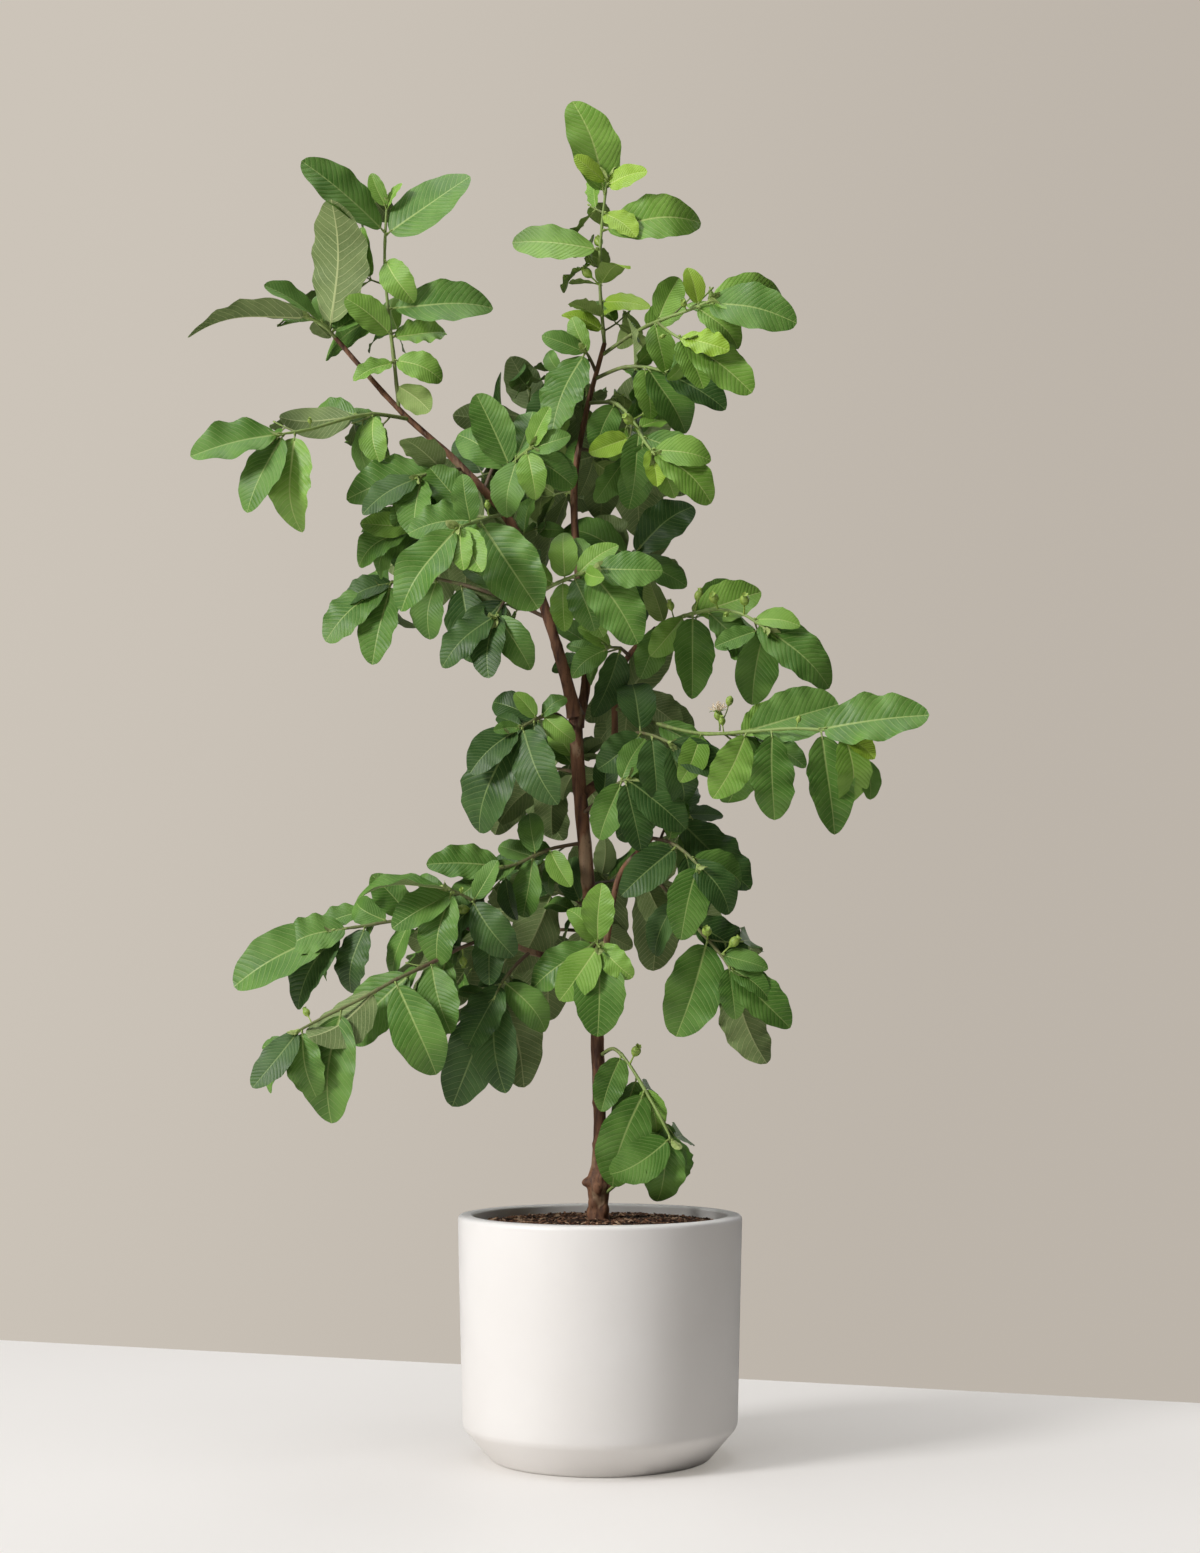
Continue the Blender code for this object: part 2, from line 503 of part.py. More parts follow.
def grow_leaves(space, rng, mass, plan, line):
    """The main leaves of a shoot, then opposite pairs along it, each pair turned from the last."""
    leaves = []
    spine = frames(line)
    filled = {}
    for bearing, lean, length, *more in plan["leaves"]:
        share, turn = (*more, *(1, 0)[len(more):])
        place = round(share * (len(line) - 1))
        point, tangent, _, _ = spine[place]
        base = point - tangent * (LEAF_ROOT * (share == 1) + LEAF_SPACING * filled.get(place, 0))
        filled[place] = filled.get(place, 0) + 1
        leaves.append(try_leaf(space, rng, mass, base, front_aim(bearing, lean), length, turn))
    for pair in range(plan["pairs"]):
        share = plan["start"] + (plan["stop"] - plan["start"]) * pair / max(plan["pairs"] - 1, 1)
        point, tangent, side, other = spine[round(share * (len(line) - 1))]
        for half_turn in (0, 180):
            turn = math.radians(plan["roll"] + PAIR_TURN * pair + half_turn)
            out = side * math.cos(turn) + other * math.sin(turn)
            spread = math.radians(plan["spread"] * rng.uniform(0.85, 1.15))
            aim = (tangent * math.cos(spread) + out * math.sin(spread) - UP * plan["hang"]).normalized()
            length = plan["size"] * rng.uniform(0.86, 1.14)
            leaves.append(try_leaf(space, rng, mass, point, aim, length, loose=5, frontal=0.35))
    return [leaf for leaf in leaves if leaf]


def grow_fruits(space, rng, mass, plan, line):
    fruits = []
    spine = frames(line)
    for number in range(plan["fruits"]):
        point, tangent, side, other = spine[round((0.45 + 0.15 * number) * (len(line) - 1))]
        for _ in range(LEAF_TRIES):
            turn = rng.uniform(0, math.tau)
            along = (side * math.cos(turn) + other * math.sin(turn) + UP * 0.5 + tangent * 0.3).normalized()
            shape = fruit_shape(point, along)
            if not space.hits(shape, skip=(mass + " shoots",)):
                space.add(shape, mass)
                fruits.append((point, along))
                break
    return fruits


def grow_shoots(space, mass, limb, plans):
    """The lines and radii of a mass's shoots; a side shoot that would touch a limb is skipped."""
    shoots = []
    for plan in plans:
        route, radii = plan["route"], STEM_RADIUS
        if plan["at"] is not None:
            stem = shoots[0][1]
            route, radii = [stem[round(plan["at"] * (len(stem) - 1))], *plan["route"]], TWIG_RADIUS
        line = smooth(route, SHOOT_STEPS * (len(route) - 1))
        shape = tube(line[1:], [(0, radii[0]), (1, radii[1])], SHOOT_SIDES, CLEAR)
        if space.hits(shape, skip=(mass + " shoots", limb)):
            continue
        space.add(tube(line, [(0, radii[0]), (1, radii[1])], SHOOT_SIDES), mass + " shoots")
        shoots.append((plan, line, [(0, radii[0]), (1, radii[1])]))
    return shoots


def limb_line(limb):
    return smooth(limb["route"], limb["steps"])


def grow_plant():
    """The shoots, leaves and fruitlets of every mass. All shoots grow first: leaves keep off them."""
    space = Space()
    for name, limb in LIMBS.items():
        space.add(tube(limb_line(limb), limb["radii"], limb["sides"], CLEAR), name)
    space.add(turned(pot_profile(), POT_SEGMENTS), "pot")
    space.add(turned(soil_profile(), SOIL_SEGMENTS), "soil")
    shoots = {mass: grow_shoots(space, mass, limb, plans) for mass, (limb, plans) in MASSES.items()}
    plant = {}
    for number, mass in enumerate(MASSES):
        rng = random.Random(100 + number)
        leaves, fruits = [], []
        for plan, line, _ in shoots[mass]:
            fruits += grow_fruits(space, rng, mass, plan, line)
            leaves += grow_leaves(space, rng, mass, plan, line)
        plant[mass] = (shoots[mass], leaves, fruits)
    return plant


def turned(profile, segments):
    """Points and faces of a closed profile of (radius, height), turned about the upright axis."""
    rings, points, faces = [], [], []
    for radius, height in profile:
        count = segments if radius > 0 else 1
        rings.append(range(len(points), len(points) + count))
        for k in range(count):
            turn = math.tau * k / segments
            points.append(Vector((radius * math.cos(turn), radius * math.sin(turn), height)))
    for a, b in zip(rings, rings[1:]):
        for k in range(segments):
            corners = [a[k % len(a)], a[(k + 1) % len(a)], b[(k + 1) % len(b)], b[k % len(b)]]
            faces.append(tuple(dict.fromkeys(corners)))
    return points, faces


def pot_profile():
    inner = RIM_RADIUS - POT_WALL
    floor = SHOULDER_RADIUS - POT_WALL - 2
    edge = EDGE_ROUND
    return [(0, 0), (FOOT_RADIUS - 4, 0), (FOOT_RADIUS - 1, 0.8), (FOOT_RADIUS + 1.4, 2.6),
            (SHOULDER_RADIUS - 2, SHOULDER_HEIGHT - 3), (SHOULDER_RADIUS - 0.3, SHOULDER_HEIGHT + 0.5),
            (SHOULDER_RADIUS + 0.1, SHOULDER_HEIGHT + 5), (RIM_RADIUS, POT_HEIGHT - edge),
            (RIM_RADIUS - edge, POT_HEIGHT), (inner + edge, POT_HEIGHT), (inner, POT_HEIGHT - edge),
            (floor, POT_FLOOR + 30), (floor - 12, POT_FLOOR), (0, POT_FLOOR)]


def soil_profile():
    """Follows the pot's inside, GAP clear of it, under a mound."""
    inner = RIM_RADIUS - POT_WALL - 2 * GAP
    floor = SHOULDER_RADIUS - POT_WALL - 2 - 2 * GAP
    edge = POT_HEIGHT - SOIL_EDGE_DROP
    top = [(0, SOIL_TOP), (SOIL_FLAT_RADIUS, SOIL_TOP)]
    for share in (0.35, 0.55, 0.75, 0.92):
        top.append((inner * share, edge + (SOIL_TOP - edge) * (1 - share ** 2) ** 0.8))
    wall = inner - (inner - floor) * SOIL_EDGE_DROP / (POT_HEIGHT - POT_FLOOR - 30)
    return [(0, POT_FLOOR + GAP), (floor - 12, POT_FLOOR + GAP), (floor, POT_FLOOR + 30), (wall, edge),
            *reversed(top)]


def boolean(obj, operation, operand, solver):
    """Joins or cuts with an object or a collection, and keeps the result as the object's own mesh."""
    modifier = obj.modifiers.new("boolean", "BOOLEAN")
    modifier.operation = operation
    modifier.solver = solver
    if isinstance(operand, bpy.types.Collection):
        modifier.operand_type = "COLLECTION"
        modifier.collection = operand
    else:
        modifier.object = operand
    graph = bpy.context.evaluated_depsgraph_get()
    graph.update()
    result = bpy.data.meshes.new_from_object(obj.evaluated_get(graph))
    obj.modifiers.remove(modifier)
    obj.data = result


def is_closed(mesh):
    bm = bmesh.new()
    bm.from_mesh(mesh)
    closed = len(bm.faces) > 0 and all(len(edge.link_faces) == 2 for edge in bm.edges)
    bm.free()
    return closed


def keep_main_body(obj):
    """Drops loose scraps, scraps that hang on by one edge, and sealed hollows."""
    bm = bmesh.new()
    bm.from_mesh(obj.data)
    bmesh.ops.remove_doubles(bm, verts=bm.verts, dist=MERGE * MM)
    bmesh.ops.dissolve_limit(bm, angle_limit=FLAT_ANGLE, verts=bm.verts, edges=bm.edges)
    bmesh.ops.triangulate(bm, faces=bm.faces)
    groups, seen = [], set()
    for face in bm.faces:
        if face in seen:
            continue
        group, front = {face}, [face]
        while front:
            for edge in front.pop().edges:
                near = edge.link_faces if len(edge.link_faces) == 2 else ()
                fresh = [other for other in near if other not in group]
                group.update(fresh)
                front.extend(fresh)
        seen |= group
        groups.append(group)
    main = max(groups, key=len)
    bmesh.ops.delete(bm, geom=[face for face in bm.faces if face not in main], context="FACES")
    bm.to_mesh(obj.data)
    bm.free()


def cut_clear(obj, limb_names, solver="EXACT"):
    """Cuts a foot back so that it is GAP clear of the limbs it grows from."""
    for name in limb_names:
        limb = LIMBS[name]
        grown = tube(limb_line(limb), limb["radii"], limb["sides"], 1.2 * GAP)
        cutter = add_object("cutter", skin(grown), "guava_bark")
        boolean(obj, "DIFFERENCE", cutter, solver)
        bpy.data.objects.remove(cutter)


def make_pot():
    bm = skin(turned(pot_profile(), POT_SEGMENTS))
    pot = add_object("pot", bm, "white_pot")
    pot.data.shade_smooth()
    pot.data.set_sharp_from_angle(angle=math.radians(40))


def make_soil():
    add_object("soil", skin(turned(soil_profile(), SOIL_SEGMENTS)), "dark_soil").data.shade_smooth()


def make_limbs():
    foot_of = {"bough_left": ("trunk",), "bough_centre": ("trunk", "bough_left"), "bough_right": ("trunk",),
               "bough_low_right": ("trunk",), "bough_low_left": ("trunk",)}
    for name, limb in LIMBS.items():
        obj = add_object(name, skin(tube(limb_line(limb), limb["radii"], limb["sides"])), "guava_bark")
        if name in foot_of:
            cut_clear(obj, foot_of[name])
            keep_main_body(obj)
        obj.data.shade_smooth()


def fuse(name, shapes, limb, solver):
    """Joins shapes into one body, its foot cut clear of the limb."""
    mass = add_object(name, skin(shapes[0]), "guava_leaf")
    helpers = bpy.data.collections.new(name + "_pieces")
    bpy.context.scene.collection.children.link(helpers)
    for shape in shapes[1:]:
        add_object("piece", skin(shape), "guava_leaf", helpers)
    boolean(mass, "UNION", helpers, solver)
    for piece in list(helpers.objects):
        bpy.data.objects.remove(piece)
    bpy.data.collections.remove(helpers)
    cut_clear(mass, (limb,), solver)
    keep_main_body(mass)
    return mass


def make_mass(name, limb, shoots, leaves, fruits):
    """EXACT first, and MANIFOLD where its result isn't closed."""
    shapes = [tube(line, radii, SHOOT_SIDES) for _, line, radii in shoots]
    shapes += [leaf_shape(leaf) for leaf in leaves]
    shapes += [fruit_shape(*fruit) for fruit in fruits]
    mass = fuse(name, shapes, limb, "EXACT")
    if not is_closed(mass.data):
        bpy.data.objects.remove(mass)
        fuse(name, shapes, limb, "MANIFOLD")


def main():
    clear_scene()
    make_pot()
    make_soil()
    make_limbs()
    for name, grown in grow_plant().items():
        make_mass(name, MASSES[name][0], *grown)


main()
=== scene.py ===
import math
import random

import bpy
import numpy as np
from mathutils import Matrix, Vector
from mathutils.bvhtree import BVHTree


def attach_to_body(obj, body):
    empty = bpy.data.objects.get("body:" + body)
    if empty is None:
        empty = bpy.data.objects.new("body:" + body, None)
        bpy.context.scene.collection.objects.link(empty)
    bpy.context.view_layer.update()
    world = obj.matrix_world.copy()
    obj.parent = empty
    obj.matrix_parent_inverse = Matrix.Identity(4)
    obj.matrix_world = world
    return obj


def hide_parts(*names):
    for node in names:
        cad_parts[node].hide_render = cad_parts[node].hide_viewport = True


# A young guava tree in a white pot. Growth is worked out in millimetres, pieces are in metres.
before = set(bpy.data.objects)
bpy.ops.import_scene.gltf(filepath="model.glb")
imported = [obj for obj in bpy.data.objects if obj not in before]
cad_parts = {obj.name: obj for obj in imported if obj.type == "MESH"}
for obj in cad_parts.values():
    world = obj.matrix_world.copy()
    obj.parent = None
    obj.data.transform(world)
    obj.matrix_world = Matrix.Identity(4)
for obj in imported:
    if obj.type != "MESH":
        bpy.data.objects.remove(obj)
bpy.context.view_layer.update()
mm = 0.001
up = Vector((0, 0, 1))
print("frame loaded:", len(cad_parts), "nodes")

# Pot and soil, with the same sizes as the solids
potForm = {"height": 218, "rim": 127, "shoulder": 123, "shoulderHeight": 31, "foot": 98, "wall": 13.5,
           "floor": 16, "edge": 1.5, "segments": 32}
soilForm = {"edgeDrop": 9, "top": 213.5, "flatRadius": 16, "segments": 20, "gap": 0.3}

# The limbs: a route from foot to tip, and radii by share of the route
limbs = {
    "trunk": {
        "route": [(-1, 0, soilForm["top"] + soilForm["gap"]), (-1, 0, 238), (-1, 0, 262), (0, 0, 300),
                  (-2, 0, 364), (-6, 0, 453), (-15, 0, 561), (-20, 1, 623), (-22, 1, 666)],
        "radii": [(0, 9.8), (0.06, 8.4), (0.125, 9.6), (0.17, 11.4), (0.21, 9.8), (0.25, 6.8),
                  (0.34, 5.5), (0.6, 5.7), (0.8, 6.1), (0.94, 6.2), (1, 6)],
        "sides": 10, "steps": 24,
    },
    "bough_left": {
        "route": [(-22, 1, 663), (-32, -6, 702), (-44, -14, 742), (-61, -18, 790),
                  (-81, -18, 835), (-128, -14, 888), (-179, -10, 935), (-236, -10, 999)],
        "radii": [(0, 5.6), (0.12, 5.2), (0.6, 3.6), (1, 1.9)],
        "sides": 7, "steps": 14,
    },
    "bough_centre": {
        "route": [(-21, 1, 655), (-13, 11, 690), (-12, 14, 733), (-20, 11, 800), (-23, 10, 870),
                  (-13, 12, 935), (4, 12, 1000)],
        "radii": [(0, 4.6), (0.1, 4.5), (0.6, 3.2), (1, 2)],
        "sides": 7, "steps": 12,
    },
    "bough_right": {
        "route": [(-16, 0, 592), (5, 16, 613), (13, 20, 645), (14, 18, 689), (26, 12, 719), (50, 0, 742)],
        "radii": [(0, 3.8), (0.2, 3.6), (1, 2)],
        "sides": 6, "steps": 12,
    },
    "bough_low_right": {
        "route": [(-5, 0, 430), (5, -12, 458), (11, -16, 494), (20, -20, 525), (47, -28, 553)],
        "radii": [(0, 3.4), (0.2, 3.1), (1, 1.9)],
        "sides": 6, "steps": 10,
    },
    "bough_low_left": {
        "route": [(-6, 0, 442), (-26, -6, 443), (-65, -20, 453), (-83, -28, 462), (-106, -38, 466)],
        "radii": [(0, 3.6), (0.2, 3.1), (1, 1.8)],
        "sides": 6, "steps": 10,
    },
}

# The growth rule's sizes
growth = {
    "halfWidth": 0.25,  # of a leaf's length
    "thickness": 0.012,
    "stations": ((0, 0), (0.28, 0.92), (0.7, 0.88)),
    "root": 0.95,
    "spacing": 2.6,  # between the stalks of leaves at one place
    "arch": 0.22,
    "tries": 9,
    "pairTurn": 83,
    "shootSteps": 2,
    "shootSides": 4,
    "stem": (1.8, 1.2),
    "twig": (1.4, 1.1),
    "fruitProfile": ((0, 1), (0.42, 0.9), (0.58, 5.4), (0.84, 5.6), (1, 2)),
    "fruitLength": 25,
    "fruitSides": 5,
    "clear": 0.6,
    "crownTop": 1225,
    "crownReach": 385,
    "backFrom": 40,  # further back, leaves look to the back
    "look": 0.4,  # how much a leaf's upper side looks up, and as much away from the trunk
    "loosen": 6,  # degrees more of chance turn at each try
    "tilt": 1.6,  # times that turn about the leaf's own line
    "lastTries": 3,
    "shorter": 0.8,  # leaves at the last tries
    "fruitPlaces": (0.45, 0.15),  # share of the shoot, and more for each next one
    "fruitAim": (0.5, 0.3),  # how much it points up and along the shoot
    "spreads": (0.85, 1.15),
    "sizes": (0.86, 1.14),
    "pairFace": (5, 0.35),  # chance turn of leaves in pairs, and how much they look to the front
    "leafSeed": 100,
    "bladeSeed": 500,
}
# A shoot's own values where its call doesn't name them
shootForm = {"at": None, "pairs": 0, "size": 85, "start": 0.35, "stop": 0.8, "roll": 0, "spread": 62,
             "hang": 0.3, "leaves": (), "fruits": 0}
masses = {}


def grow(mass, limb, *route, fresh=0.5, more=0, **own):
    # a shoot of one mass of foliage, and the limb that carries the mass
    # fresh: how young the leaves are, 0 old and deep green, 1 middle, 2 fresh, 3 young
    # more: small fruitlets and flower buds besides those of the solid
    # leaves: bearing in the front view, lean to the front, length, share of the shoot (1), turn (0)
    masses.setdefault(mass, {"limb": limb, "fresh": fresh, "more": more, "shoots": []})
    masses[mass]["shoots"].append({"route": route, **shootForm, **own})


# Masses are named without the "foliage_" of their nodes
grow("left_tip", "bough_left", (-235, -10, 998), (-246, -16, 1009), (-256, -22, 1013), fresh=1.2,
     leaves=((84, 12, 118, 0.2, 180), (184, 12, 116, 1, 65), (163, -14, 62, 0.4), (38, -15, 52, 0.3)))
grow("left_upright", "bough_left", (-179, -10, 935), (-183, -14, 978), (-188, -16, 1022), (-191, -18, 1066),
     (-189, -20, 1112), fresh=1.4, more=2, leaves=((151, 6, 94, 0.84), (34, 6, 92, 0.84), (6, 5, 98, 0.5),
     (188, -30, 96, 0.5), (153, 10, 52, 0.36), (304, 22, 52, 0.72), (14, -14, 52, 0.36), (338, 15, 50, 0.3),
     (205, 15, 42, 0.24), (318, 20, 46, 0.14, 180), (115, 15, 32), (70, 15, 28)))
grow("left_outer", "bough_left", (-170, -11, 926), (-200, -30, 926), (-227, -45, 917), (-252, -58, 906),
     (-276, -70, 899), fresh=1.25, more=1, leaves=((196, 10, 82), (243, 10, 80), (264, 4, 92, 0.84),
     (188, 6, 72, 0.42, 180), (277, 12, 46, 0.24), (166, -25, 50, 0.36)))
grow("left_mid", "bough_left", (-122, -14, 881), (-138, -32, 876), (-158, -50, 866), fresh=0.5, more=2,
     pairs=1, size=56, start=0.5, hang=0.4, leaves=((196, 5, 92, 0.42), (226, 15, 78, 0.3), (214, 10, 62),
     (262, 20, 60)))
grow("left_heart", "bough_left", (-86, -18, 840), (-97, -58, 829), (-111, -88, 818), (-120, -108, 811),
     fresh=1.05, more=2, leaves=((303, 10, 96, 0.55), (231, 10, 92, 0.92), (275, 28, 46), (293, 26, 52),
     (190, 10, 66, 0.5), (100, 20, 44, 0.6)))
grow("left_heart", "bough_left", (-128, -42, 834), (-168, -24, 826), at=0.3, pairs=1, size=54, hang=0.4,
     leaves=((208, 5, 62), (222, -8, 60), (245, 5, 62, 0.6), (176, 0, 50)))
grow("left_low", "bough_left", (-46, -14, 748), (-84, -12, 766), (-124, 0, 781), (-166, 10, 790),
     (-190, 16, 784), fresh=0.6, leaves=((222, 8, 80), (256, 12, 80, 0.96), (200, 0, 56), (261, 10, 58, 0.62),
     (282, 12, 76, 0.44), (311, 8, 68, 0.5, 180), (232, 15, 72, 0.24), (120, -15, 60, 0.7)))
grow("left_low", "bough_left", (-92, -30, 748), at=0.3, leaves=((222, 12, 70), (302, 14, 62), (262, 20, 66)))
grow("inner_high", "bough_left", (-94, -17, 851), (-84, -45, 866), (-72, -66, 878), (-60, -82, 884),
     fresh=1.1, more=1, leaves=((115, 8, 70, 0.55), (143, -12, 62, 0.5), (62, 20, 40), (15, 25, 42),
     (280, 15, 46, 0.94), (328, 10, 54, 0.8), (255, 20, 56, 0.6), (75, -20, 56, 0.75)))
grow("inner_back", "bough_left", (-103, -16, 862), (-92, 20, 900), (-74, 44, 932), (-60, 56, 950), fresh=0.2,
     pairs=3, size=64, hang=0.2, leaves=((112, -15, 60), (30, -15, 66), (170, 0, 62, 0.7)))
grow("crown_top", "bough_centre", (4, 12, 999), (2, 9, 1022), (0, 6, 1050), (0, 2, 1080), (3, -4, 1112),
     (6, -9, 1138), fresh=2.2, more=1, pairs=2, size=46, start=0.16, stop=0.42, roll=60, hang=0.2, fruits=2,
     leaves=((109, 4, 90, 0.93), (146, 25, 38), (14, 20, 40), (9, 8, 98, 0.74), (318, 25, 44, 0.8),
     (175, 6, 80, 0.62), (196, 10, 44, 0.5), (350, 12, 46, 0.3), (155, 10, 42, 0.1)))
grow("crown_right", "bough_centre", (3, 12, 990), (28, -8, 1002), (50, -28, 1008), (76, -44, 1013),
     (95, -56, 1018), fresh=1.9, more=2, leaves=((8, 2, 74), (340, 12, 86), (104, 5, 36, 0.9),
     (322, 12, 56, 0.82), (62, 0, 46, 0.55), (285, 12, 50, 0.44), (40, -15, 50, 0.4)))
grow("crown_right", "bough_centre", (62, -50, 992), (72, -58, 984), at=0.55, leaves=((321, 10, 80),
     (294, 12, 52), (340, 25, 52)))
grow("centre_right_high", "bough_centre", (-4, 12, 968), (19, -10, 972), (41, -24, 969), (56, -32, 963),
     fresh=1, more=2, pairs=1, size=46, start=0.5, hang=0.3, leaves=((306, 6, 72, 0.72), (329, 10, 68),
     (52, 10, 48, 0.5), (285, 15, 50, 0.6), (335, 20, 46, 0.4), (8, 0, 44)))
grow("centre_right", "bough_centre", (-10, 12, 946), (13, -8, 941), (29, -24, 922), (38, -38, 902),
     (46, -50, 888), fresh=1.8, fruits=2, leaves=((320, 8, 72), (352, 10, 56), (268, 12, 62, 0.62),
     (250, 10, 52, 0.3), (283, 22, 38), (258, -15, 66, 0.8), (340, 10, 58, 0.7), (30, -10, 46, 0.6),
     (300, 20, 54, 0.86)))
grow("centre_left", "bough_centre", (-4, 12, 975), (-9, 0, 983), (-13, -9, 987), fresh=0.8,
     leaves=((247, 8, 82), (160, 10, 44), (112, 5, 38)))
grow("centre_left", "bough_centre", (-20, 2, 968), (-26, -4, 960), at=0.4, fruits=1, leaves=((225, 12, 56),
     (268, 18, 52)))
grow("centre_mid", "bough_left", (-54, -17, 770), (-40, -40, 774), (-21, -56, 779), (-6, -66, 783), fresh=1.3,
     leaves=((358, 14, 64), (303, 10, 80), (95, 8, 46, 0.5), (272, 15, 48, 0.42), (330, 25, 46, 0.8),
     (35, 10, 46, 0.75), (292, 20, 56, 0.6), (150, 15, 38, 0.4)))
grow("centre_behind", "bough_centre", (-18, 12, 782), (1, 32, 795), (18, 34, 807), (30, 28, 812), fresh=0.7,
     pairs=1, size=60, start=0.5, hang=0.3, leaves=((41, 8, 78), (150, -10, 78), (335, 0, 60), (285, 5, 66)))
grow("right_high", "bough_right", (49, 0, 741), (66, -10, 748), (84, -20, 752), (104, -34, 753),
     (126, -48, 746), (143, -58, 733), fresh=1.4, more=4, fruits=3, leaves=((21, 4, 66, 0.44),
     (112, 8, 46, 0.08, 180), (271, 12, 80, 0.36), (250, 8, 54, 0.14), (313, 10, 76, 0.5), (322, 8, 92, 0.88),
     (262, -10, 70, 0.95), (334, -2, 52), (352, 15, 44, 0.94), (232, 15, 50, 0.3)))
grow("right_arm", "bough_right", (14, 19, 672), (50, -22, 654), (88, -58, 641), (126, -90, 639),
     (166, -114, 639), (206, -132, 634), fresh=1.4, more=2, leaves=((243, 6, 66, 0.58), (273, 8, 80, 0.74),
     (279, 6, 92, 0.88), (277, 0, 66), (351, 4, 96, 0.88), (16, 6, 84, 0.62), (320, 15, 38),
     (265, -22, 76, 0.56), (328, 8, 60, 0.24), (250, 18, 50, 0.42)))
grow("right_inner", "bough_right", (12, 20, 640), (29, -22, 645), (45, -46, 641), (60, -62, 633), fresh=0.3,
     leaves=((220, 10, 54, 0.48), (276, 10, 60, 0.75), (292, -15, 68), (95, -25, 72, 0.45),
     (330, 10, 60, 0.95), (246, -10, 62, 0.7), (300, 10, 60, 0.9)))
grow("right_inner_low", "trunk", (-17, 0, 575), (2, -24, 588), (14, -42, 598), (24, -52, 602),
     leaves=((247, 8, 58, 0.8), (322, 5, 70), (292, 10, 66), (352, -8, 56), (60, 0, 44)))
grow("low_right", "bough_low_right", (46, -28, 552), (60, -42, 548), (74, -56, 538), (85, -66, 526),
     fresh=0.6, more=1, leaves=((221, 8, 68, 0.5), (309, 12, 62, 0.85), (258, 12, 70), (338, -15, 60, 0.9),
     (285, -8, 66, 0.6), (70, -12, 44, 0.3)))
grow("low_right", "bough_low_right", (60, -22, 566), (68, -18, 571), at=0.17, leaves=((317, 0, 92),))
grow("low_right_outer", "bough_low_right", (22, -20, 528), (52, -36, 512), (80, -52, 478), (105, -65, 448),
     (114, -70, 434), fresh=0.8, fruits=3, leaves=((252, 8, 92, 0.58), (317, 6, 80, 0.86),
     (289, -6, 88, 0.97, 180), (325, 15, 46), (296, -18, 62, 0.14, 180), (330, -14, 62, 0.5), (282, 14, 50),
     (262, -20, 72, 0.4), (350, 0, 44, 0.7)))
grow("low_left_upper", "bough_low_left", (-82, -28, 461), (-95, -48, 480), (-112, -60, 496), (-130, -68, 505),
     fresh=0.65, more=1, fruits=1, leaves=((176, 6, 86, 1, 60), (256, 14, 72, 0.92), (308, 12, 66, 0.65),
     (265, 8, 60, 0.36), (208, 8, 66), (60, 8, 42, 0.7), (235, -14, 64, 0.6)))
grow("low_left_outer", "bough_low_left", (-96, -34, 465), (-120, -58, 455), (-146, -74, 441),
     (-176, -87, 426), (-206, -96, 409), (-234, -102, 395), (-256, -106, 383), fresh=0.85, more=2,
     leaves=((219, 10, 76, 0.58, 180), (294, 8, 94, 0.5), (226, -16, 92, 0.4), (269, 4, 102, 0.76),
     (231, 10, 64), (281, 2, 62, 0.98), (286, 14, 66, 0.3), (250, 14, 54), (262, -14, 74, 0.26)))
grow("low_left_far", "bough_low_left", (-105, -38, 466), (-130, -30, 478), (-167, -22, 481), (-207, -24, 475),
     (-234, -28, 471), fresh=0.75, pairs=1, size=62, start=0.45, hang=0.4, leaves=((207, 6, 106),
     (196, 10, 68, 0.82), (240, 0, 82), (252, 8, 66, 0.7), (150, -10, 46, 0.6)))
grow("low_left_hanging", "bough_low_left", (-62, -19, 452), (-76, -34, 438), (-86, -42, 424), (-92, -47, 411),
     fresh=0.3, leaves=((276, 8, 86), (261, 6, 108), (285, -14, 94, 0.9, 180), (238, 10, 66, 0.6),
     (312, 5, 62, 0.6)))
grow("trunk_left_high", "trunk", (-21, 1, 650), (-38, -24, 662), (-52, -37, 658), (-62, -44, 652),
     (-74, -48, 645), fresh=0.1, more=1, leaves=((244, -10, 104), (266, 8, 68, 0.62), (268, 4, 104, 0.9),
     (222, 8, 60), (132, 12, 30, 0.6), (190, 20, 26), (40, 12, 30, 0.5), (320, 15, 38, 0.5)))
grow("trunk_left_mid", "trunk", (-14, 0, 550), (-45, -16, 543), (-72, -26, 530), (-95, -32, 524),
     leaves=((178, 8, 70, 0.84), (200, 12, 44, 0.6), (218, 10, 52), (300, 12, 40, 0.4), (258, -10, 58, 0.5),
     (100, -10, 44, 0.5)))
grow("trunk_front", "trunk", (-7, 0, 456), (-5, -30, 462), (-1, -60, 456), fresh=1.3, leaves=((235, 14, 62),
     (270, 12, 82), (213, 2, 74, 0.8), (312, 20, 46), (86, 10, 54), (125, 12, 42)))
grow("trunk_low_right", "trunk", (-1, 0, 358), (12, -16, 366), (26, -30, 352), (39, -45, 331), (51, -56, 310),
     (62, -62, 288), fresh=1.1, fruits=1, leaves=((250, 8, 54, 0.3), (250, 12, 96, 0.55), (290, 5, 44, 0.6),
     (212, 12, 66), (265, 2, 66), (286, -8, 48), (240, 2, 60, 0.8)))
grow("base_sprout", "trunk", (-1, 0, 232), (13, -12, 244), (25, -20, 256), fresh=2, leaves=((35, 15, 30),
     (115, 10, 24)))
grow("trunk_back_low", "trunk", (-9, 0, 490), (-26, 26, 502), (-43, 42, 509), pairs=1, size=60, hang=0.5,
     leaves=((243, 0, 84), (150, -20, 70), (280, 0, 72)))
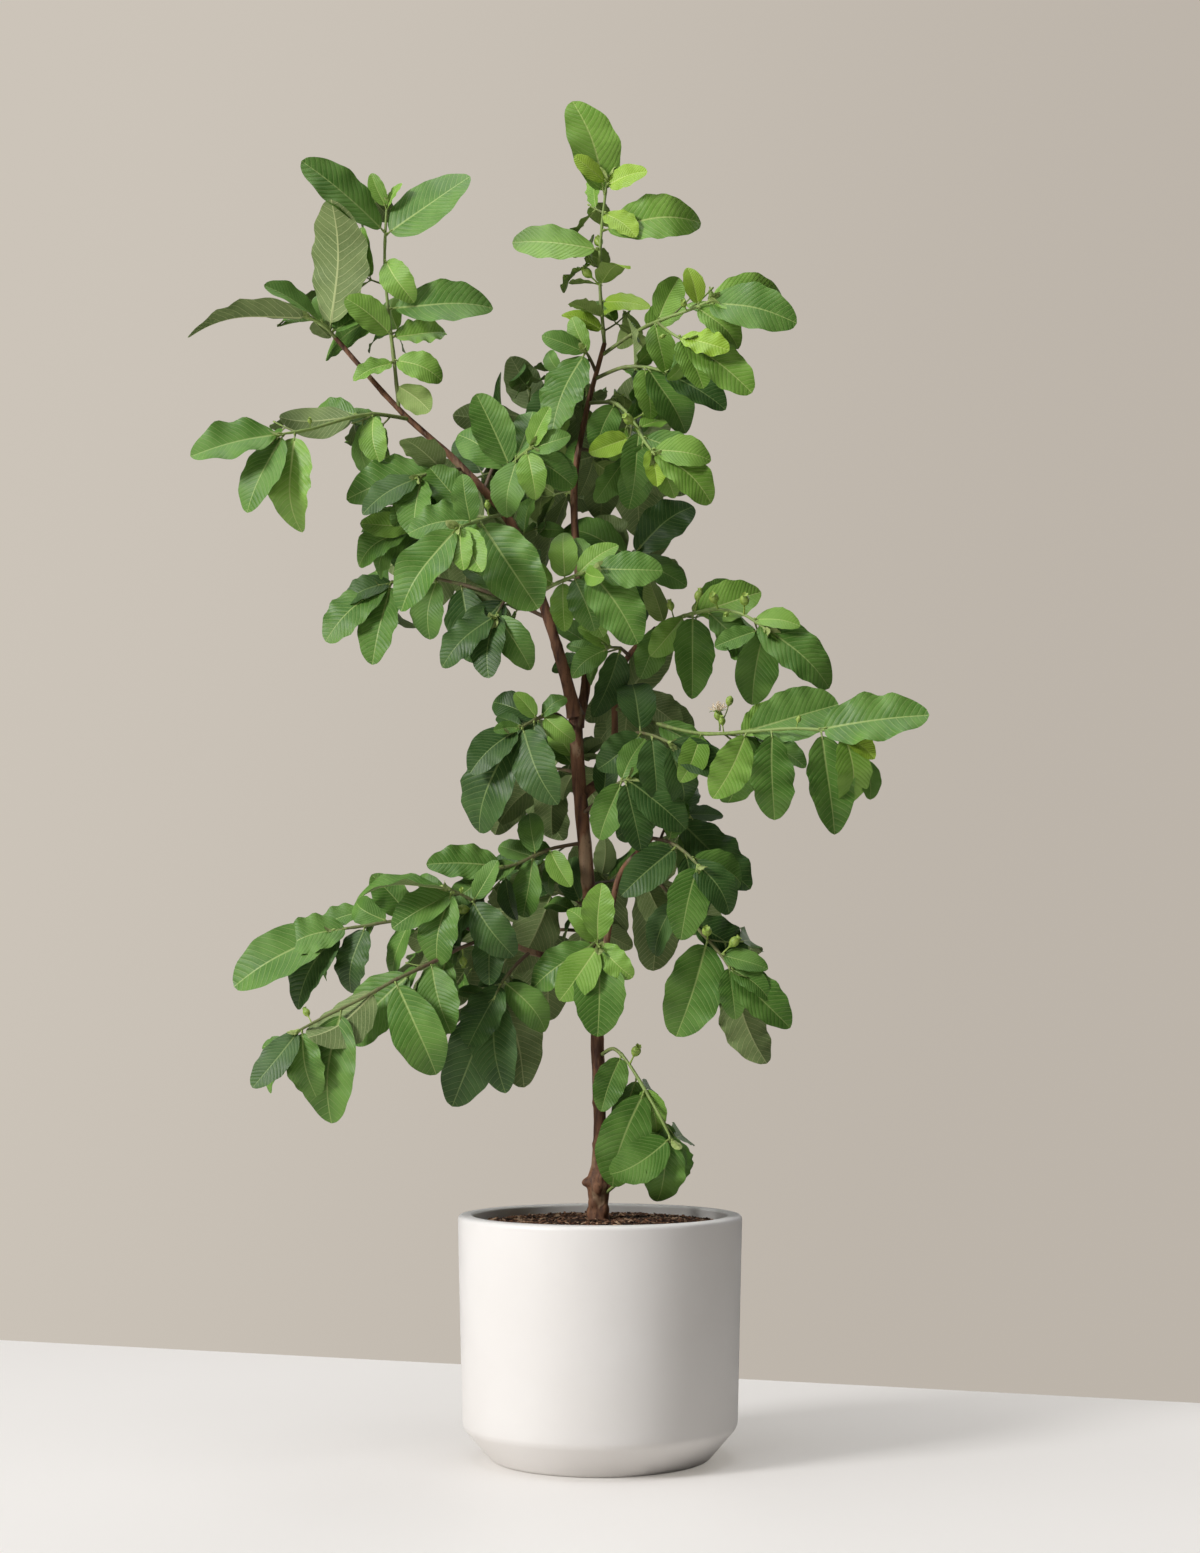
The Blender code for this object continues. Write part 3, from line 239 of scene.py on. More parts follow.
grow("back_left", "bough_left", (-72, -18, 818), (-88, 45, 836), (-116, 106, 850), (-140, 148, 854),
     fresh=1.1, more=2, pairs=4, size=80, hang=0.35, start=0.3, leaves=((200, -30, 84), (250, -10, 80)))
grow("back_centre", "bough_centre", (-20, 12, 905), (2, 63, 914), (24, 119, 926), (36, 156, 936), fresh=0.9,
     more=2, pairs=4, size=74, hang=0.3, start=0.3, leaves=((60, -40, 80), (280, -20, 76)))
grow("back_right", "bough_right", (14, 19, 682), (26, 69, 692), (36, 116, 696), (42, 148, 690), fresh=1,
     more=2, pairs=4, size=68, hang=0.5, start=0.3, leaves=((290, -30, 76),))
grow("back_low_right", "trunk", (-11, 0, 512), (24, 66, 520), (58, 132, 514), fresh=0.9, more=1, pairs=3,
     size=80, hang=0.5, start=0.35, leaves=((330, -30, 80), (270, -10, 76)))
grow("back_low_left", "trunk", (-7, 0, 470), (-40, 61, 474), (-88, 116, 468), (-130, 150, 456), fresh=0.9,
     more=1, pairs=4, size=82, hang=0.6, start=0.32, leaves=((232, -20, 84),))
grow("back_mid", "trunk", (-19, 1, 612), (-40, 61, 622), (-62, 114, 622), fresh=0.9, pairs=3, size=72,
     hang=0.5, start=0.4, leaves=((230, -30, 76), (130, -30, 70)))
grow("back_high", "bough_centre", (-23, 10, 862), (-34, 61, 882), (-46, 106, 906), fresh=1.3, more=1, pairs=3,
     size=76, hang=0.25, start=0.35, leaves=((120, -30, 78), (220, -30, 76)))
grow("fork", "bough_right", (26, 12, 719), (18, -6, 723), (8, -17, 722), fresh=0.6, leaves=((263, 6, 66, 0.5),
     (214, 12, 46), (150, 14, 36)))


def loft(rings):
    points, faces, starts = [], [], []
    for ring in rings:
        starts.append(len(points))
        points.extend(ring)
    count = len(rings[0])
    for a, b, ring in zip(starts, starts[1:], rings[1:]):
        for i in range(count):
            j = (i + 1) % count
            if len(ring) == 1:
                faces.append((a + i, a + j, b))
            else:
                faces.extend([(a + i, a + j, b + j), (a + i, b + j, b + i)])
    last = starts[-1]
    faces.extend((0, i + 1, i) for i in range(1, count - 1))
    if len(rings[-1]) > 1:
        faces.extend((last, last + i, last + i + 1) for i in range(1, count - 1))
    return points, faces


def smooth(points, steps):
    points = [Vector(point) for point in points]
    knots = [2 * points[0] - points[1], *points, 2 * points[-1] - points[-2]]
    line = []
    for step in range(steps + 1):
        place = step / steps * (len(points) - 1)
        i = min(int(place), len(points) - 2)
        t = place - i
        a, b, c, d = knots[i:i + 4]
        bend, turn = 2 * a - 5 * b + 4 * c - d, 3 * b - a - 3 * c + d
        line.append(0.5 * (2 * b + (c - a) * t + bend * t ** 2 + turn * t ** 3))
    return line


def framesOf(line):
    # point, tangent, side, other side, with no twist
    found, side = [], None
    for i, point in enumerate(line):
        tangent = (line[min(i + 1, len(line) - 1)] - line[max(i - 1, 0)]).normalized()
        if side is None:
            side = tangent.cross(Vector((0.3, 1, 0.2)))
        side = (side - tangent * side.dot(tangent)).normalized()
        found.append((point, tangent, side, tangent.cross(side)))
    return found


def between(table, place):
    for (low, a), (high, b) in zip(table, table[1:]):
        if place <= high:
            return a + (b - a) * (place - low) / (high - low)
    return table[-1][1]


def around(side, other, turn):
    return side * math.cos(turn) + other * math.sin(turn)


def sidesOf(along):
    side = along.orthogonal().normalized()
    return side, along.cross(side)


def ringOf(centre, side, other, radius, sides):
    return [centre + around(side, other, math.tau * k / sides) * radius for k in range(sides)]


def tube(line, radii, sides, wider=0.0):
    rings = []
    for i, (point, tangent, side, other) in enumerate(framesOf(line)):
        share = i / (len(line) - 1)
        end = wider * ((share == 1) - (share == 0))
        rings.append(ringOf(point + tangent * end, side, other, between(radii, share) + wider, sides))
    return loft(rings)


def leafShape(leaf, wider=0.0, first=0):
    base, along, face, length = leaf
    side = along.cross(face)
    root = growth["root"]
    rings = []
    for place, share in growth["stations"][first:]:
        centre = base + along * length * place + face * length * growth["arch"] * place * (1 - place)
        half = max(length * growth["halfWidth"] * share, root) + wider
        top = wider if place else root
        ridge = (length * growth["thickness"] if place else root) + wider
        rings.append([centre + side * half + face * top, centre - side * half + face * top,
                      centre - face * ridge])
    rings.append([base + along * (length + wider)])
    return loft(rings)


def fruitShape(base, along):
    side, other = sidesOf(along)
    length, sides = growth["fruitLength"], growth["fruitSides"]
    return loft([ringOf(base + along * length * place, side, other, radius, sides)
                 for place, radius in growth["fruitProfile"]])


def boxOf(points):
    return [min(p[i] for p in points) for i in range(3)], [max(p[i] for p in points) for i in range(3)]


class Space:
    # what already stands where, so that nothing grows through anything
    def __init__(self):
        self.taken = []

    def add(self, shape, owner):
        self.taken.append((*boxOf(shape[0]), BVHTree.FromPolygons(*shape), owner))

    def hits(self, shape, skip=()):
        low, high = boxOf(shape[0])
        tree = BVHTree.FromPolygons(*shape)
        for otherLow, otherHigh, otherTree, owner in self.taken:
            apart = any(low[i] > otherHigh[i] or high[i] < otherLow[i] for i in range(3))
            if not apart and owner not in skip and tree.overlap(otherTree):
                return True
        return False


def inCrown(leaf):
    tip = leaf[0] + leaf[1] * leaf[3]
    reach = math.hypot(tip.x, tip.y)
    return soilForm["top"] < tip.z < growth["crownTop"] and reach < growth["crownReach"]


def leafFace(base, along, tilt, frontal):
    # a leaf's upper side looks up, out from the trunk, and to the nearer of front and back
    out = Vector((base.x, base.y, 0)).normalized() if base.xy.length > 1 else Vector((0, -1, 0))
    front = Vector((0, -1 if base.y < growth["backFrom"] else 1, 0))
    wish = growth["look"] * up + growth["look"] * out + frontal * front
    face = wish - along * wish.dot(along)
    if face.length < 0.05:
        face = along.orthogonal()
    return Matrix.Rotation(math.radians(tilt), 3, along) @ face.normalized()


def tryLeaf(space, rng, mass, base, aim, length, turn=0, loose=0, frontal=1):
    for attempt in range(growth["tries"]):
        turns = [rng.uniform(-1, 1) * (loose + growth["loosen"] * attempt) for _ in range(3)]
        along = Matrix.Rotation(math.radians(turns[0]), 3, "Z") @ aim
        along = Matrix.Rotation(math.radians(turns[1]), 3, along.orthogonal()) @ along
        shorter = 1 if attempt < growth["tries"] - growth["lastTries"] else growth["shorter"]
        tilt = turn + growth["tilt"] * turns[2]
        leaf = (base, along, leafFace(base, along, tilt, frontal), length * shorter)
        if not inCrown(leaf) or space.hits(leafShape(leaf, growth["clear"]), skip=(mass, mass + " shoots")):
            continue
        if space.hits(leafShape(leaf, growth["clear"], first=1)):
            continue
        space.add(leafShape(leaf), mass)
        return leaf
    return None


def frontAim(bearing, lean):
    bearing, lean = math.radians(bearing), math.radians(lean)
    return Vector((math.cos(bearing) * math.cos(lean), -math.sin(lean), math.sin(bearing) * math.cos(lean)))


def aimOf(place, turn, spread, hang=0):
    # spread out from the shoot's own direction, at a turn about it, and hanging a little
    _, tangent, side, other = place
    out = around(side, other, turn)
    return (tangent * math.cos(spread) + out * math.sin(spread) - up * hang).normalized()


def growLeaves(space, rng, mass, plan, line):
    # the main leaves, then opposite pairs, each pair turned from the last
    leaves = []
    spine = framesOf(line)
    filled = {}
    for bearing, lean, length, *more in plan["leaves"]:
        share, turn = (*more, *(1, 0)[len(more):])
        place = round(share * (len(line) - 1))
        point, tangent, _, _ = spine[place]
        back = growth["root"] * (share == 1) + growth["spacing"] * filled.get(place, 0)
        filled[place] = filled.get(place, 0) + 1
        base, aim = point - tangent * back, frontAim(bearing, lean)
        leaves.append(tryLeaf(space, rng, mass, base, aim, length, turn))
    for pair in range(plan["pairs"]):
        share = plan["start"] + (plan["stop"] - plan["start"]) * pair / max(plan["pairs"] - 1, 1)
        place = spine[round(share * (len(line) - 1))]
        for halfTurn in (0, 180):
            turn = math.radians(plan["roll"] + growth["pairTurn"] * pair + halfTurn)
            spread = math.radians(plan["spread"] * rng.uniform(*growth["spreads"]))
            aim = aimOf(place, turn, spread, plan["hang"])
            length = plan["size"] * rng.uniform(*growth["sizes"])
            leaves.append(tryLeaf(space, rng, mass, place[0], aim, length, 0, *growth["pairFace"]))
    return [leaf for leaf in leaves if leaf]


def tryFruit(space, mass, place, turn, lift, lean):
    point, tangent, side, other = place
    along = (around(side, other, turn) + up * lift + tangent * lean).normalized()
    shape = fruitShape(point, along)
    if space.hits(shape, skip=(mass + " shoots",)):
        return None
    space.add(shape, mass)
    return point, along


def growFruits(space, rng, mass, plan, line):
    fruits = []
    spine = framesOf(line)
    first, more = growth["fruitPlaces"]
    for number in range(plan["fruits"]):
        place = spine[round((first + more * number) * (len(line) - 1))]
        for _ in range(growth["tries"]):
            fruit = tryFruit(space, mass, place, rng.uniform(0, math.tau), *growth["fruitAim"])
            if fruit:
                fruits.append(fruit)
                break
    return fruits


def growShoots(space, mass, limb, plans):
    shoots = []
    for plan in plans:
        route, radii = plan["route"], growth["stem"]
        if plan["at"] is not None:
            stem = shoots[0][1]
            route, radii = [stem[round(plan["at"] * (len(stem) - 1))], *plan["route"]], growth["twig"]
        line = smooth(route, growth["shootSteps"] * (len(route) - 1))
        table = [(0, radii[0]), (1, radii[1])]
        shape = tube(line[1:], table, growth["shootSides"], growth["clear"])
        if space.hits(shape, skip=(mass + " shoots", limb)):
            continue
        space.add(tube(line, table, growth["shootSides"]), mass + " shoots")
        shoots.append((plan, line, table))
    return shoots


def turned(profile, segments):
    rings, points, faces = [], [], []
    for radius, height in profile:
        count = segments if radius > 0 else 1
        rings.append(range(len(points), len(points) + count))
        for k in range(count):
            turn = math.tau * k / segments
            points.append(Vector((radius * math.cos(turn), radius * math.sin(turn), height)))
    for a, b in zip(rings, rings[1:]):
        for k in range(segments):
            corners = [a[k % len(a)], a[(k + 1) % len(a)], b[(k + 1) % len(b)], b[k % len(b)]]
            faces.append(tuple(dict.fromkeys(corners)))
    return points, faces


def potProfile():
    rim, height, edge, foot = potForm["rim"], potForm["height"], potForm["edge"], potForm["foot"]
    shoulder, level = potForm["shoulder"], potForm["shoulderHeight"]
    inner, floor, bottom = rim - potForm["wall"], shoulder - potForm["wall"] - 2, potForm["floor"]
    return [(0, 0), (foot - 4, 0), (foot - 1, 0.8), (foot + 1.4, 2.6), (shoulder - 2, level - 3),
            (shoulder - 0.3, level + 0.5), (shoulder + 0.1, level + 5), (rim, height - edge),
            (rim - edge, height), (inner + edge, height), (inner, height - edge),
            (floor, bottom + 30), (floor - 12, bottom), (0, bottom)]


def soilProfile():
    gap, drop = soilForm["gap"], soilForm["edgeDrop"]
    inner = potForm["rim"] - potForm["wall"] - 2 * gap
    floor = potForm["shoulder"] - potForm["wall"] - 2 - 2 * gap
    bottom, edge = potForm["floor"], potForm["height"] - drop
    top = [(0, soilForm["top"]), (soilForm["flatRadius"], soilForm["top"])]
    for share in (0.35, 0.55, 0.75, 0.92):
        top.append((inner * share, edge + (soilForm["top"] - edge) * (1 - share ** 2) ** 0.8))
    wall = inner - (inner - floor) * drop / (potForm["height"] - bottom - 30)
    return [(0, bottom + gap), (floor - 12, bottom + gap), (floor, bottom + 30), (wall, edge), *reversed(top)]


def growPlant():
    # all shoots grow first, so that leaves keep off them
    space = Space()
    for name, limb in limbs.items():
        line = smooth(limb["route"], limb["steps"])
        space.add(tube(line, limb["radii"], limb["sides"], growth["clear"]), name)
    space.add(turned(potProfile(), potForm["segments"]), "pot")
    space.add(turned(soilProfile(), soilForm["segments"]), "soil")
    shoots = {mass: growShoots(space, mass, spec["limb"], spec["shoots"]) for mass, spec in masses.items()}
    plant = {}
    for number, mass in enumerate(masses):
        rng = random.Random(growth["leafSeed"] + number)
        leaves, fruits = [], []
        for plan, line, _ in shoots[mass]:
            fruits += growFruits(space, rng, mass, plan, line)
            leaves += growLeaves(space, rng, mass, plan, line)
        plant[mass] = (shoots[mass], leaves, fruits)
    return plant, space


plant, space = growPlant()
print("grown:", sum(len(grown[1]) for grown in plant.values()), "leaves in", len(plant), "masses")


# Materials

class Nodes:
    # a node tree, with short ways to add to it
    def __init__(self, tree):
        self.tree = tree

    def feed(self, node, inputs):
        # each input, by name or place, is linked to a socket or set to a value
        for key, value in inputs.items() if isinstance(inputs, dict) else enumerate(inputs):
            if isinstance(value, bpy.types.NodeSocket):
                self.tree.links.new(value, node.inputs[key])
            elif node.inputs[key].type == "RGBA":
                node.inputs[key].default_value = (*value, 1)
            else:
                node.inputs[key].default_value = value
        return node

    def add(self, kind, inputs=(), **settings):
        node = self.tree.nodes.new(kind)
        for key, value in settings.items():
            setattr(node, key, value)
        return self.feed(node, inputs)

    def out(self, kind, inputs=(), socket=0, **settings):
        return self.add(kind, inputs, **settings).outputs[socket]

    def maths(self, operation, *values):
        return self.out("ShaderNodeMath", values, operation=operation)

    def plus(self, first, second):
        return self.maths("ADD", first, second)

    def minus(self, first, second):
        return self.maths("SUBTRACT", first, second)

    def times(self, first, second):
        return self.maths("MULTIPLY", first, second)

    def ramp(self, value, low, high, first=0, last=1, kind="SMOOTHSTEP"):
        return self.out("ShaderNodeMapRange", (value, low, high, first, last), interpolation_type=kind)

    def mix(self, factor, first, second):
        return self.out("ShaderNodeMix", {0: factor, 6: first, 7: second}, 2, data_type="RGBA")


class Finish(Nodes):
    # a material, with its Principled shader
    def __init__(self, name, roughness, specular):
        self.material = bpy.data.materials.new(name)
        self.material.use_nodes = True
        super().__init__(self.material.node_tree)
        self.shader = self.tree.nodes["Principled BSDF"]
        self.feed(self.shader, {"Roughness": roughness, "Specular IOR Level": specular})
        self.coords = self.out("ShaderNodeTexCoord", socket="Object")

    def shade(self, **inputs):
        self.feed(self.shader, inputs)

    def colour(self, value):
        self.feed(self.shader, {"Base Color": value})

    def noise(self, scale, detail=4, stretch=None, distortion=0.0):
        vector = self.coords
        if stretch:
            vector = self.out("ShaderNodeMapping", {"Vector": vector, "Scale": stretch})
        inputs = {"Vector": vector, "Scale": scale, "Detail": detail, "Distortion": distortion}
        return self.out("ShaderNodeTexNoise", inputs, "Fac")

    def bump(self, height, strength, depth):
        inputs = {"Height": height, "Strength": strength, "Distance": depth}
        self.shade(Normal=self.out("ShaderNodeBump", inputs, "Normal"))

    def bladeCoords(self):
        # across and along a blade or a stem
        split = self.add("ShaderNodeSeparateXYZ", [self.out("ShaderNodeUVMap", uv_map="blade")])
        return split.outputs[0], split.outputs[1]


leafLooks = {
    "specular": 0.3,
    "veins": 15,  # side veins along a blade
    "sweep": 0.62,  # how far they lean to the tip
    "curve": 1.5,
    "wander": 0.035,
    "veinWidth": 0.095,
    "midrib": (0.016, 0.005),  # its half width at the foot and at the tip
    "grooveShadeDepth": 0.35,  # how much darker the green is painted beside a vein: painted shade in the groove along it
    "weights": {True: (0.62, 0.09), False: (0.78, 0.14)},  # of veins and net on upper sides, undersides
    "netScale": 420,
    "mottleScale": 34,
    "bump": 0.32,
    "relief": 0.00045,
    # name: deep green, light green, vein, upper side, roughness
    "tones": {
        "leafDeep": ((0.03, 0.082, 0.016), (0.06, 0.138, 0.03), (0.19, 0.28, 0.09), True, 0.46),
        "leafGreen": ((0.07, 0.178, 0.025), (0.126, 0.266, 0.045), (0.31, 0.43, 0.13), True, 0.47),
        "leafFresh": ((0.145, 0.305, 0.038), (0.22, 0.41, 0.064), (0.43, 0.56, 0.17), True, 0.46),
        "leafYoung": ((0.25, 0.43, 0.03), (0.34, 0.53, 0.055), (0.5, 0.64, 0.16), True, 0.46),
        "underDull": ((0.14, 0.205, 0.068), (0.2, 0.275, 0.098), (0.46, 0.52, 0.24), False, 0.65),
        "underFresh": ((0.19, 0.29, 0.066), (0.26, 0.37, 0.1), (0.46, 0.54, 0.21), False, 0.62),
    },
}


def leafMaterial(name, deep, light, vein, upper, roughness):
    looks = leafLooks
    leaf = Finish(name, roughness, looks["specular"])
    across, along = leaf.bladeCoords()
    reach = leaf.maths("ABSOLUTE", leaf.minus(across, 0.5))
    bent = leaf.times(leaf.maths("POWER", reach, 2), looks["curve"])
    wander = leaf.times(leaf.noise(60, 2), looks["wander"])
    place = leaf.minus(leaf.plus(along, wander), leaf.plus(leaf.times(reach, looks["sweep"]), bent))
    saw = leaf.maths("FRACT", leaf.times(place, looks["veins"]))
    fromVein = leaf.maths("ABSOLUTE", leaf.minus(saw, 0.5))
    veins = leaf.ramp(fromVein, 0, looks["veinWidth"], 1, 0)
    # painted shade: the green is darkened beside each vein, in the groove along it
    beside = leaf.times(leaf.ramp(fromVein, 0.04, 0.3, 1, 0), looks["grooveShadeDepth"])
    thin = leaf.ramp(along, 0, 1, *looks["midrib"], "LINEAR")
    midrib = leaf.ramp(leaf.maths("DIVIDE", reach, thin), 0.4, 1, 1, 0)
    cells = {"Vector": leaf.coords, "Scale": looks["netScale"]}
    edge = leaf.out("ShaderNodeTexVoronoi", cells, "Distance", feature="DISTANCE_TO_EDGE")
    net = leaf.ramp(edge, 0, 0.12, 1, 0)
    mottle = leaf.noise(looks["mottleScale"], 6)
    tint = leaf.maths("MAXIMUM", leaf.minus(leaf.ramp(mottle, 0.34, 0.66), beside), 0)
    weights = looks["weights"][upper]
    fine = leaf.maths("MAXIMUM", leaf.times(veins, weights[0]), leaf.times(net, weights[1]))
    pattern = leaf.maths("MAXIMUM", fine, leaf.times(midrib, 0.9))
    leaf.colour(leaf.mix(pattern, leaf.mix(tint, deep, light), vein))
    if upper:
        height = leaf.minus(leaf.ramp(fromVein, 0, 0.5), leaf.times(net, 0.12))
    else:
        height = leaf.plus(leaf.times(veins, 0.8), leaf.times(net, 0.15))
    leaf.bump(height, looks["bump"], looks["relief"])
    leaf.shade(Roughness=leaf.ramp(mottle, 0.3, 0.7, roughness - 0.06, roughness + 0.08))
    return leaf.material


# Young stems, each with its colours at the foot and the tip, and its roughness
stemLooks = {
    "shootGreen": ((0.17, 0.2, 0.07), (0.24, 0.34, 0.09), 0.5),
    "twigBrown": ((0.13, 0.085, 0.05), (0.16, 0.19, 0.065), 0.6),
    "stalkGreen": ((0.2, 0.27, 0.075), (0.28, 0.38, 0.1), 0.5),
}


def stemMaterial(name, low, high, roughness):
    # faint lengthwise streaks
    stem = Finish(name, roughness, 0.4)
    streak = stem.noise(240, 3, (1, 1, 0.25))
    blend = stem.plus(stem.bladeCoords()[1], stem.ramp(streak, 0.3, 0.7, -0.18, 0.18))
    stem.colour(stem.mix(stem.ramp(blend, 0.15, 0.85), low, high))
    stem.bump(streak, 0.4, 0.0004)
    return stem.material


barkLooks = {
    # bark in shade and bark in light (painted shade and painted light), flaked patches, specks
    "colours": ((0.062, 0.024, 0.014), (0.25, 0.122, 0.066), (0.4, 0.28, 0.17), (0.022, 0.01, 0.007)),
    # scale, detail, stretch and distortion of the fibres, the flakes and the specks
    "noises": ((150, 6, (1, 1, 0.16), 0.5), (48, 3, (1, 1, 0.3)), (700, 3, (1, 1, 0.5))),
}


def barkMaterial():
    # smooth red-brown bark with fine lengthwise fibres, pale flaked patches and dark specks
    bark = Finish("guavaBark", 0.66, 0.35)
    grain, flakes, fine = (bark.noise(*noise) for noise in barkLooks["noises"])
    dark, lit, flaked, speck = barkLooks["colours"]
    # painted shade and light: the grain that raises the fibres blends shaded bark in the grooves with lit
    # bark on the ridges
    brown = bark.mix(bark.ramp(grain, 0.32, 0.66), dark, lit)
    patchy = bark.mix(bark.ramp(flakes, 0.56, 0.62, 0, 0.55), brown, flaked)
    bark.colour(bark.mix(bark.ramp(fine, 0.6, 0.72, 0, 0.6), patchy, speck))
    height = bark.plus(bark.times(grain, 0.9), bark.times(fine, 0.3))
    bark.bump(bark.plus(height, bark.ramp(flakes, 0.56, 0.58, 0, 0.35)), 0.8, 0.0011)
    bark.shade(Roughness=bark.ramp(grain, 0.3, 0.7, 0.56, 0.8))
    return bark.material


grainLooks = {
    # name: two colours, scale, detail, least and greatest of the noise that blends them,
    # scale, detail, strength and depth of the bumps, roughness, specular, range of roughness
    "fruitletGreen": ((0.2, 0.32, 0.045), (0.34, 0.46, 0.09), (380, 4, 0.35, 0.65),
                      (900, 2, 0.3, 0.0003), 0.46, 0.45),
    "potWhite": ((0.83, 0.81, 0.795), (0.87, 0.855, 0.845), (7, 3, 0.3, 0.7),
                 (900, 3, 0.12, 0.0003), 0.42, 0.45, (0.38, 0.5)),
    "peatDark": ((0.014, 0.009, 0.006), (0.055, 0.03, 0.018), (260, 5, 0.35, 0.65),
                 (1040, 4, 0.6, 0.002), 0.92, 0.2),
    "stamenCream": ((0.7, 0.52, 0.34), (0.9, 0.82, 0.66), (700, 5, 0.35, 0.65),
                    (2800, 4, 0.6, 0.0002), 0.6, 0.4),
    "tipWool": ((0.24, 0.33, 0.09), (0.38, 0.45, 0.17), (420, 5, 0.35, 0.65),
                (1680, 4, 0.6, 0.0002), 0.8, 0.3),
}


def grainedMaterial(name, first, second, grain, bumps, roughness, specular, rough=None):
    finish = Finish(name, roughness, specular)
    finish.colour(finish.mix(finish.ramp(finish.noise(*grain[:2]), *grain[2:]), first, second))
    if rough:
        finish.shade(Roughness=finish.ramp(finish.noise(60, 4), 0.3, 0.7, *rough))
    finish.bump(finish.noise(*bumps[:2]), *bumps[2:])
    return finish.material


chipLooks = ((0.055, 0.028, 0.018), (0.3, 0.145, 0.08), (0.62, 0.42, 0.27), (0.02, 0.011, 0.007))


def chipMaterial():
    # each chip has its own tone, kept in the attribute chipTone
    dark, brown, pale, fibre = chipLooks
    chip = Finish("barkChips", 0.85, 0.25)
    tone = chip.out("ShaderNodeAttribute", socket="Fac", attribute_name="chipTone")
    plain = chip.mix(chip.ramp(tone, 0.1, 0.6, 0, 1, "LINEAR"), dark, brown)
    light = chip.mix(chip.ramp(tone, 0.62, 0.95), plain, pale)
    fibres = chip.noise(500, 4, (1, 0.4, 1))
    chip.colour(chip.mix(chip.ramp(fibres, 0.35, 0.65, 0.55, 0), light, fibre))
    chip.bump(fibres, 0.8, 0.0006)
    return chip.material


tones = {name: leafMaterial(name, *spec) for name, spec in leafLooks["tones"].items()}
shootGreen, twigBrown, stalkGreen = (stemMaterial(name, *spec) for name, spec in stemLooks.items())
barkBrown = barkMaterial()
chipBrown = chipMaterial()
grained = {name: grainedMaterial(name, *spec) for name, spec in grainLooks.items()}
print("materials made")


# Meshes

class Parts:
    # gathers points, faces, blade coordinates and material numbers for one piece
    def __init__(self):
        self.points, self.faces, self.coords = [], [], []
        self.materials, self.numbers = [], []
        self.count = 0

    def add(self, points, faces, coords, material):
        self.points.append(np.asarray(points, float))
        self.coords.append(np.asarray(coords, float))
        self.addFaces(faces, self.count, material)
        self.count += len(points)

    def addFaces(self, faces, offset, material):
        self.faces.extend(tuple(i + offset for i in face) for face in faces)
        if material not in self.materials:
            self.materials.append(material)
        self.numbers.extend([self.materials.index(material)] * len(faces))

    def piece(self, name, sharp=55):
        mesh = bpy.data.meshes.new(name)
        points = np.concatenate(self.points) * mm
        mesh.from_pydata(points.tolist(), [], self.faces)
        for material in self.materials:
            mesh.materials.append(material)
        mesh.polygons.foreach_set("material_index", self.numbers)
        loops = np.empty(len(mesh.loops), int)
        mesh.loops.foreach_get("vertex_index", loops)
        layer = mesh.uv_layers.new(name="blade")
        layer.data.foreach_set("uv", np.concatenate(self.coords)[loops].ravel())
        mesh.validate()
        mesh.shade_smooth()
        mesh.set_sharp_from_angle(angle=math.radians(sharp))
        return show(name, mesh)


def show(name, data):
    obj = bpy.data.objects.new(name, data)
    bpy.context.scene.collection.objects.link(obj)
    return obj


def attach(piece, node):
    # every piece stands still and takes the place of a solid
    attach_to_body(piece, "root")
    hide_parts(node)


def tubeFaces(rings, sides):
    # round a stem that has so many rings of points, and over both its ends
    faces = []
    for i in range(rings - 1):
        for k in range(sides):
            a, b = i * sides + k, i * sides + (k + 1) % sides
            faces.append((a, b, b + sides, a + sides))
    last = (rings - 1) * sides
    return [*faces, tuple(reversed(range(sides))), tuple(range(last, last + sides))]


def roundTube(line, radii, sides, along=(0, 1)):
    # points, faces and blade coordinates of a round stem with faces outwards
    points, coords = [], []
    for i, (point, _, side, other) in enumerate(framesOf(line)):
        share = i / (len(line) - 1)
        radius = radii(share) if callable(radii) else between(radii, share)
        points += ringOf(point, side, other, radius, sides)
        coords += [(0.5, along[0] + (along[1] - along[0]) * share)] * sides
    return points, tubeFaces(len(line), sides), coords


# A blade's rows, and where its columns lie across it
bladeGrids = {
    "large": (24, (-1, -0.94, -0.74, -0.48, -0.22, -0.05, 0, 0.05, 0.22, 0.48, 0.74, 0.94, 1)),
    "small": (14, (-1, -0.88, -0.5, -0.07, 0, 0.07, 0.5, 0.88, 1)),
}
bladeForm = {
    "smallUnder": 46,  # leaves shorter than this have the small grid
    "stalk": 0.06,  # of the length
    "halfWidth": (0.234, 0.292),
    "slimmer": 0.0006,  # less for each millimetre over slimmerFrom
    "slimmerFrom": 80,
    "peak": (0.82, 1.1),  # under 1 the blade is widest nearer to the stalk
    "blunt": (0.47, 0.6),
    "notch": 0.03,
    "notches": (3, 6),
    "fold": (0.04, 0.42),
    "wave": (0.008, 0.024),
    "wavy": (0.03, 0.05),  # the wave of every third leaf
    "wavyShare": 0.36,
    "ripples": (2.2, 4.6),
    "twist": 24,
    "curl": (0.0, 0.09),
    "curled": (0.12, 0.28),
    "curledShare": 0.33,
    "curlFrom": 0.4,
    "bow": 0.05,
    "thickness": 0.17,
    "midrib": 0.85,
}


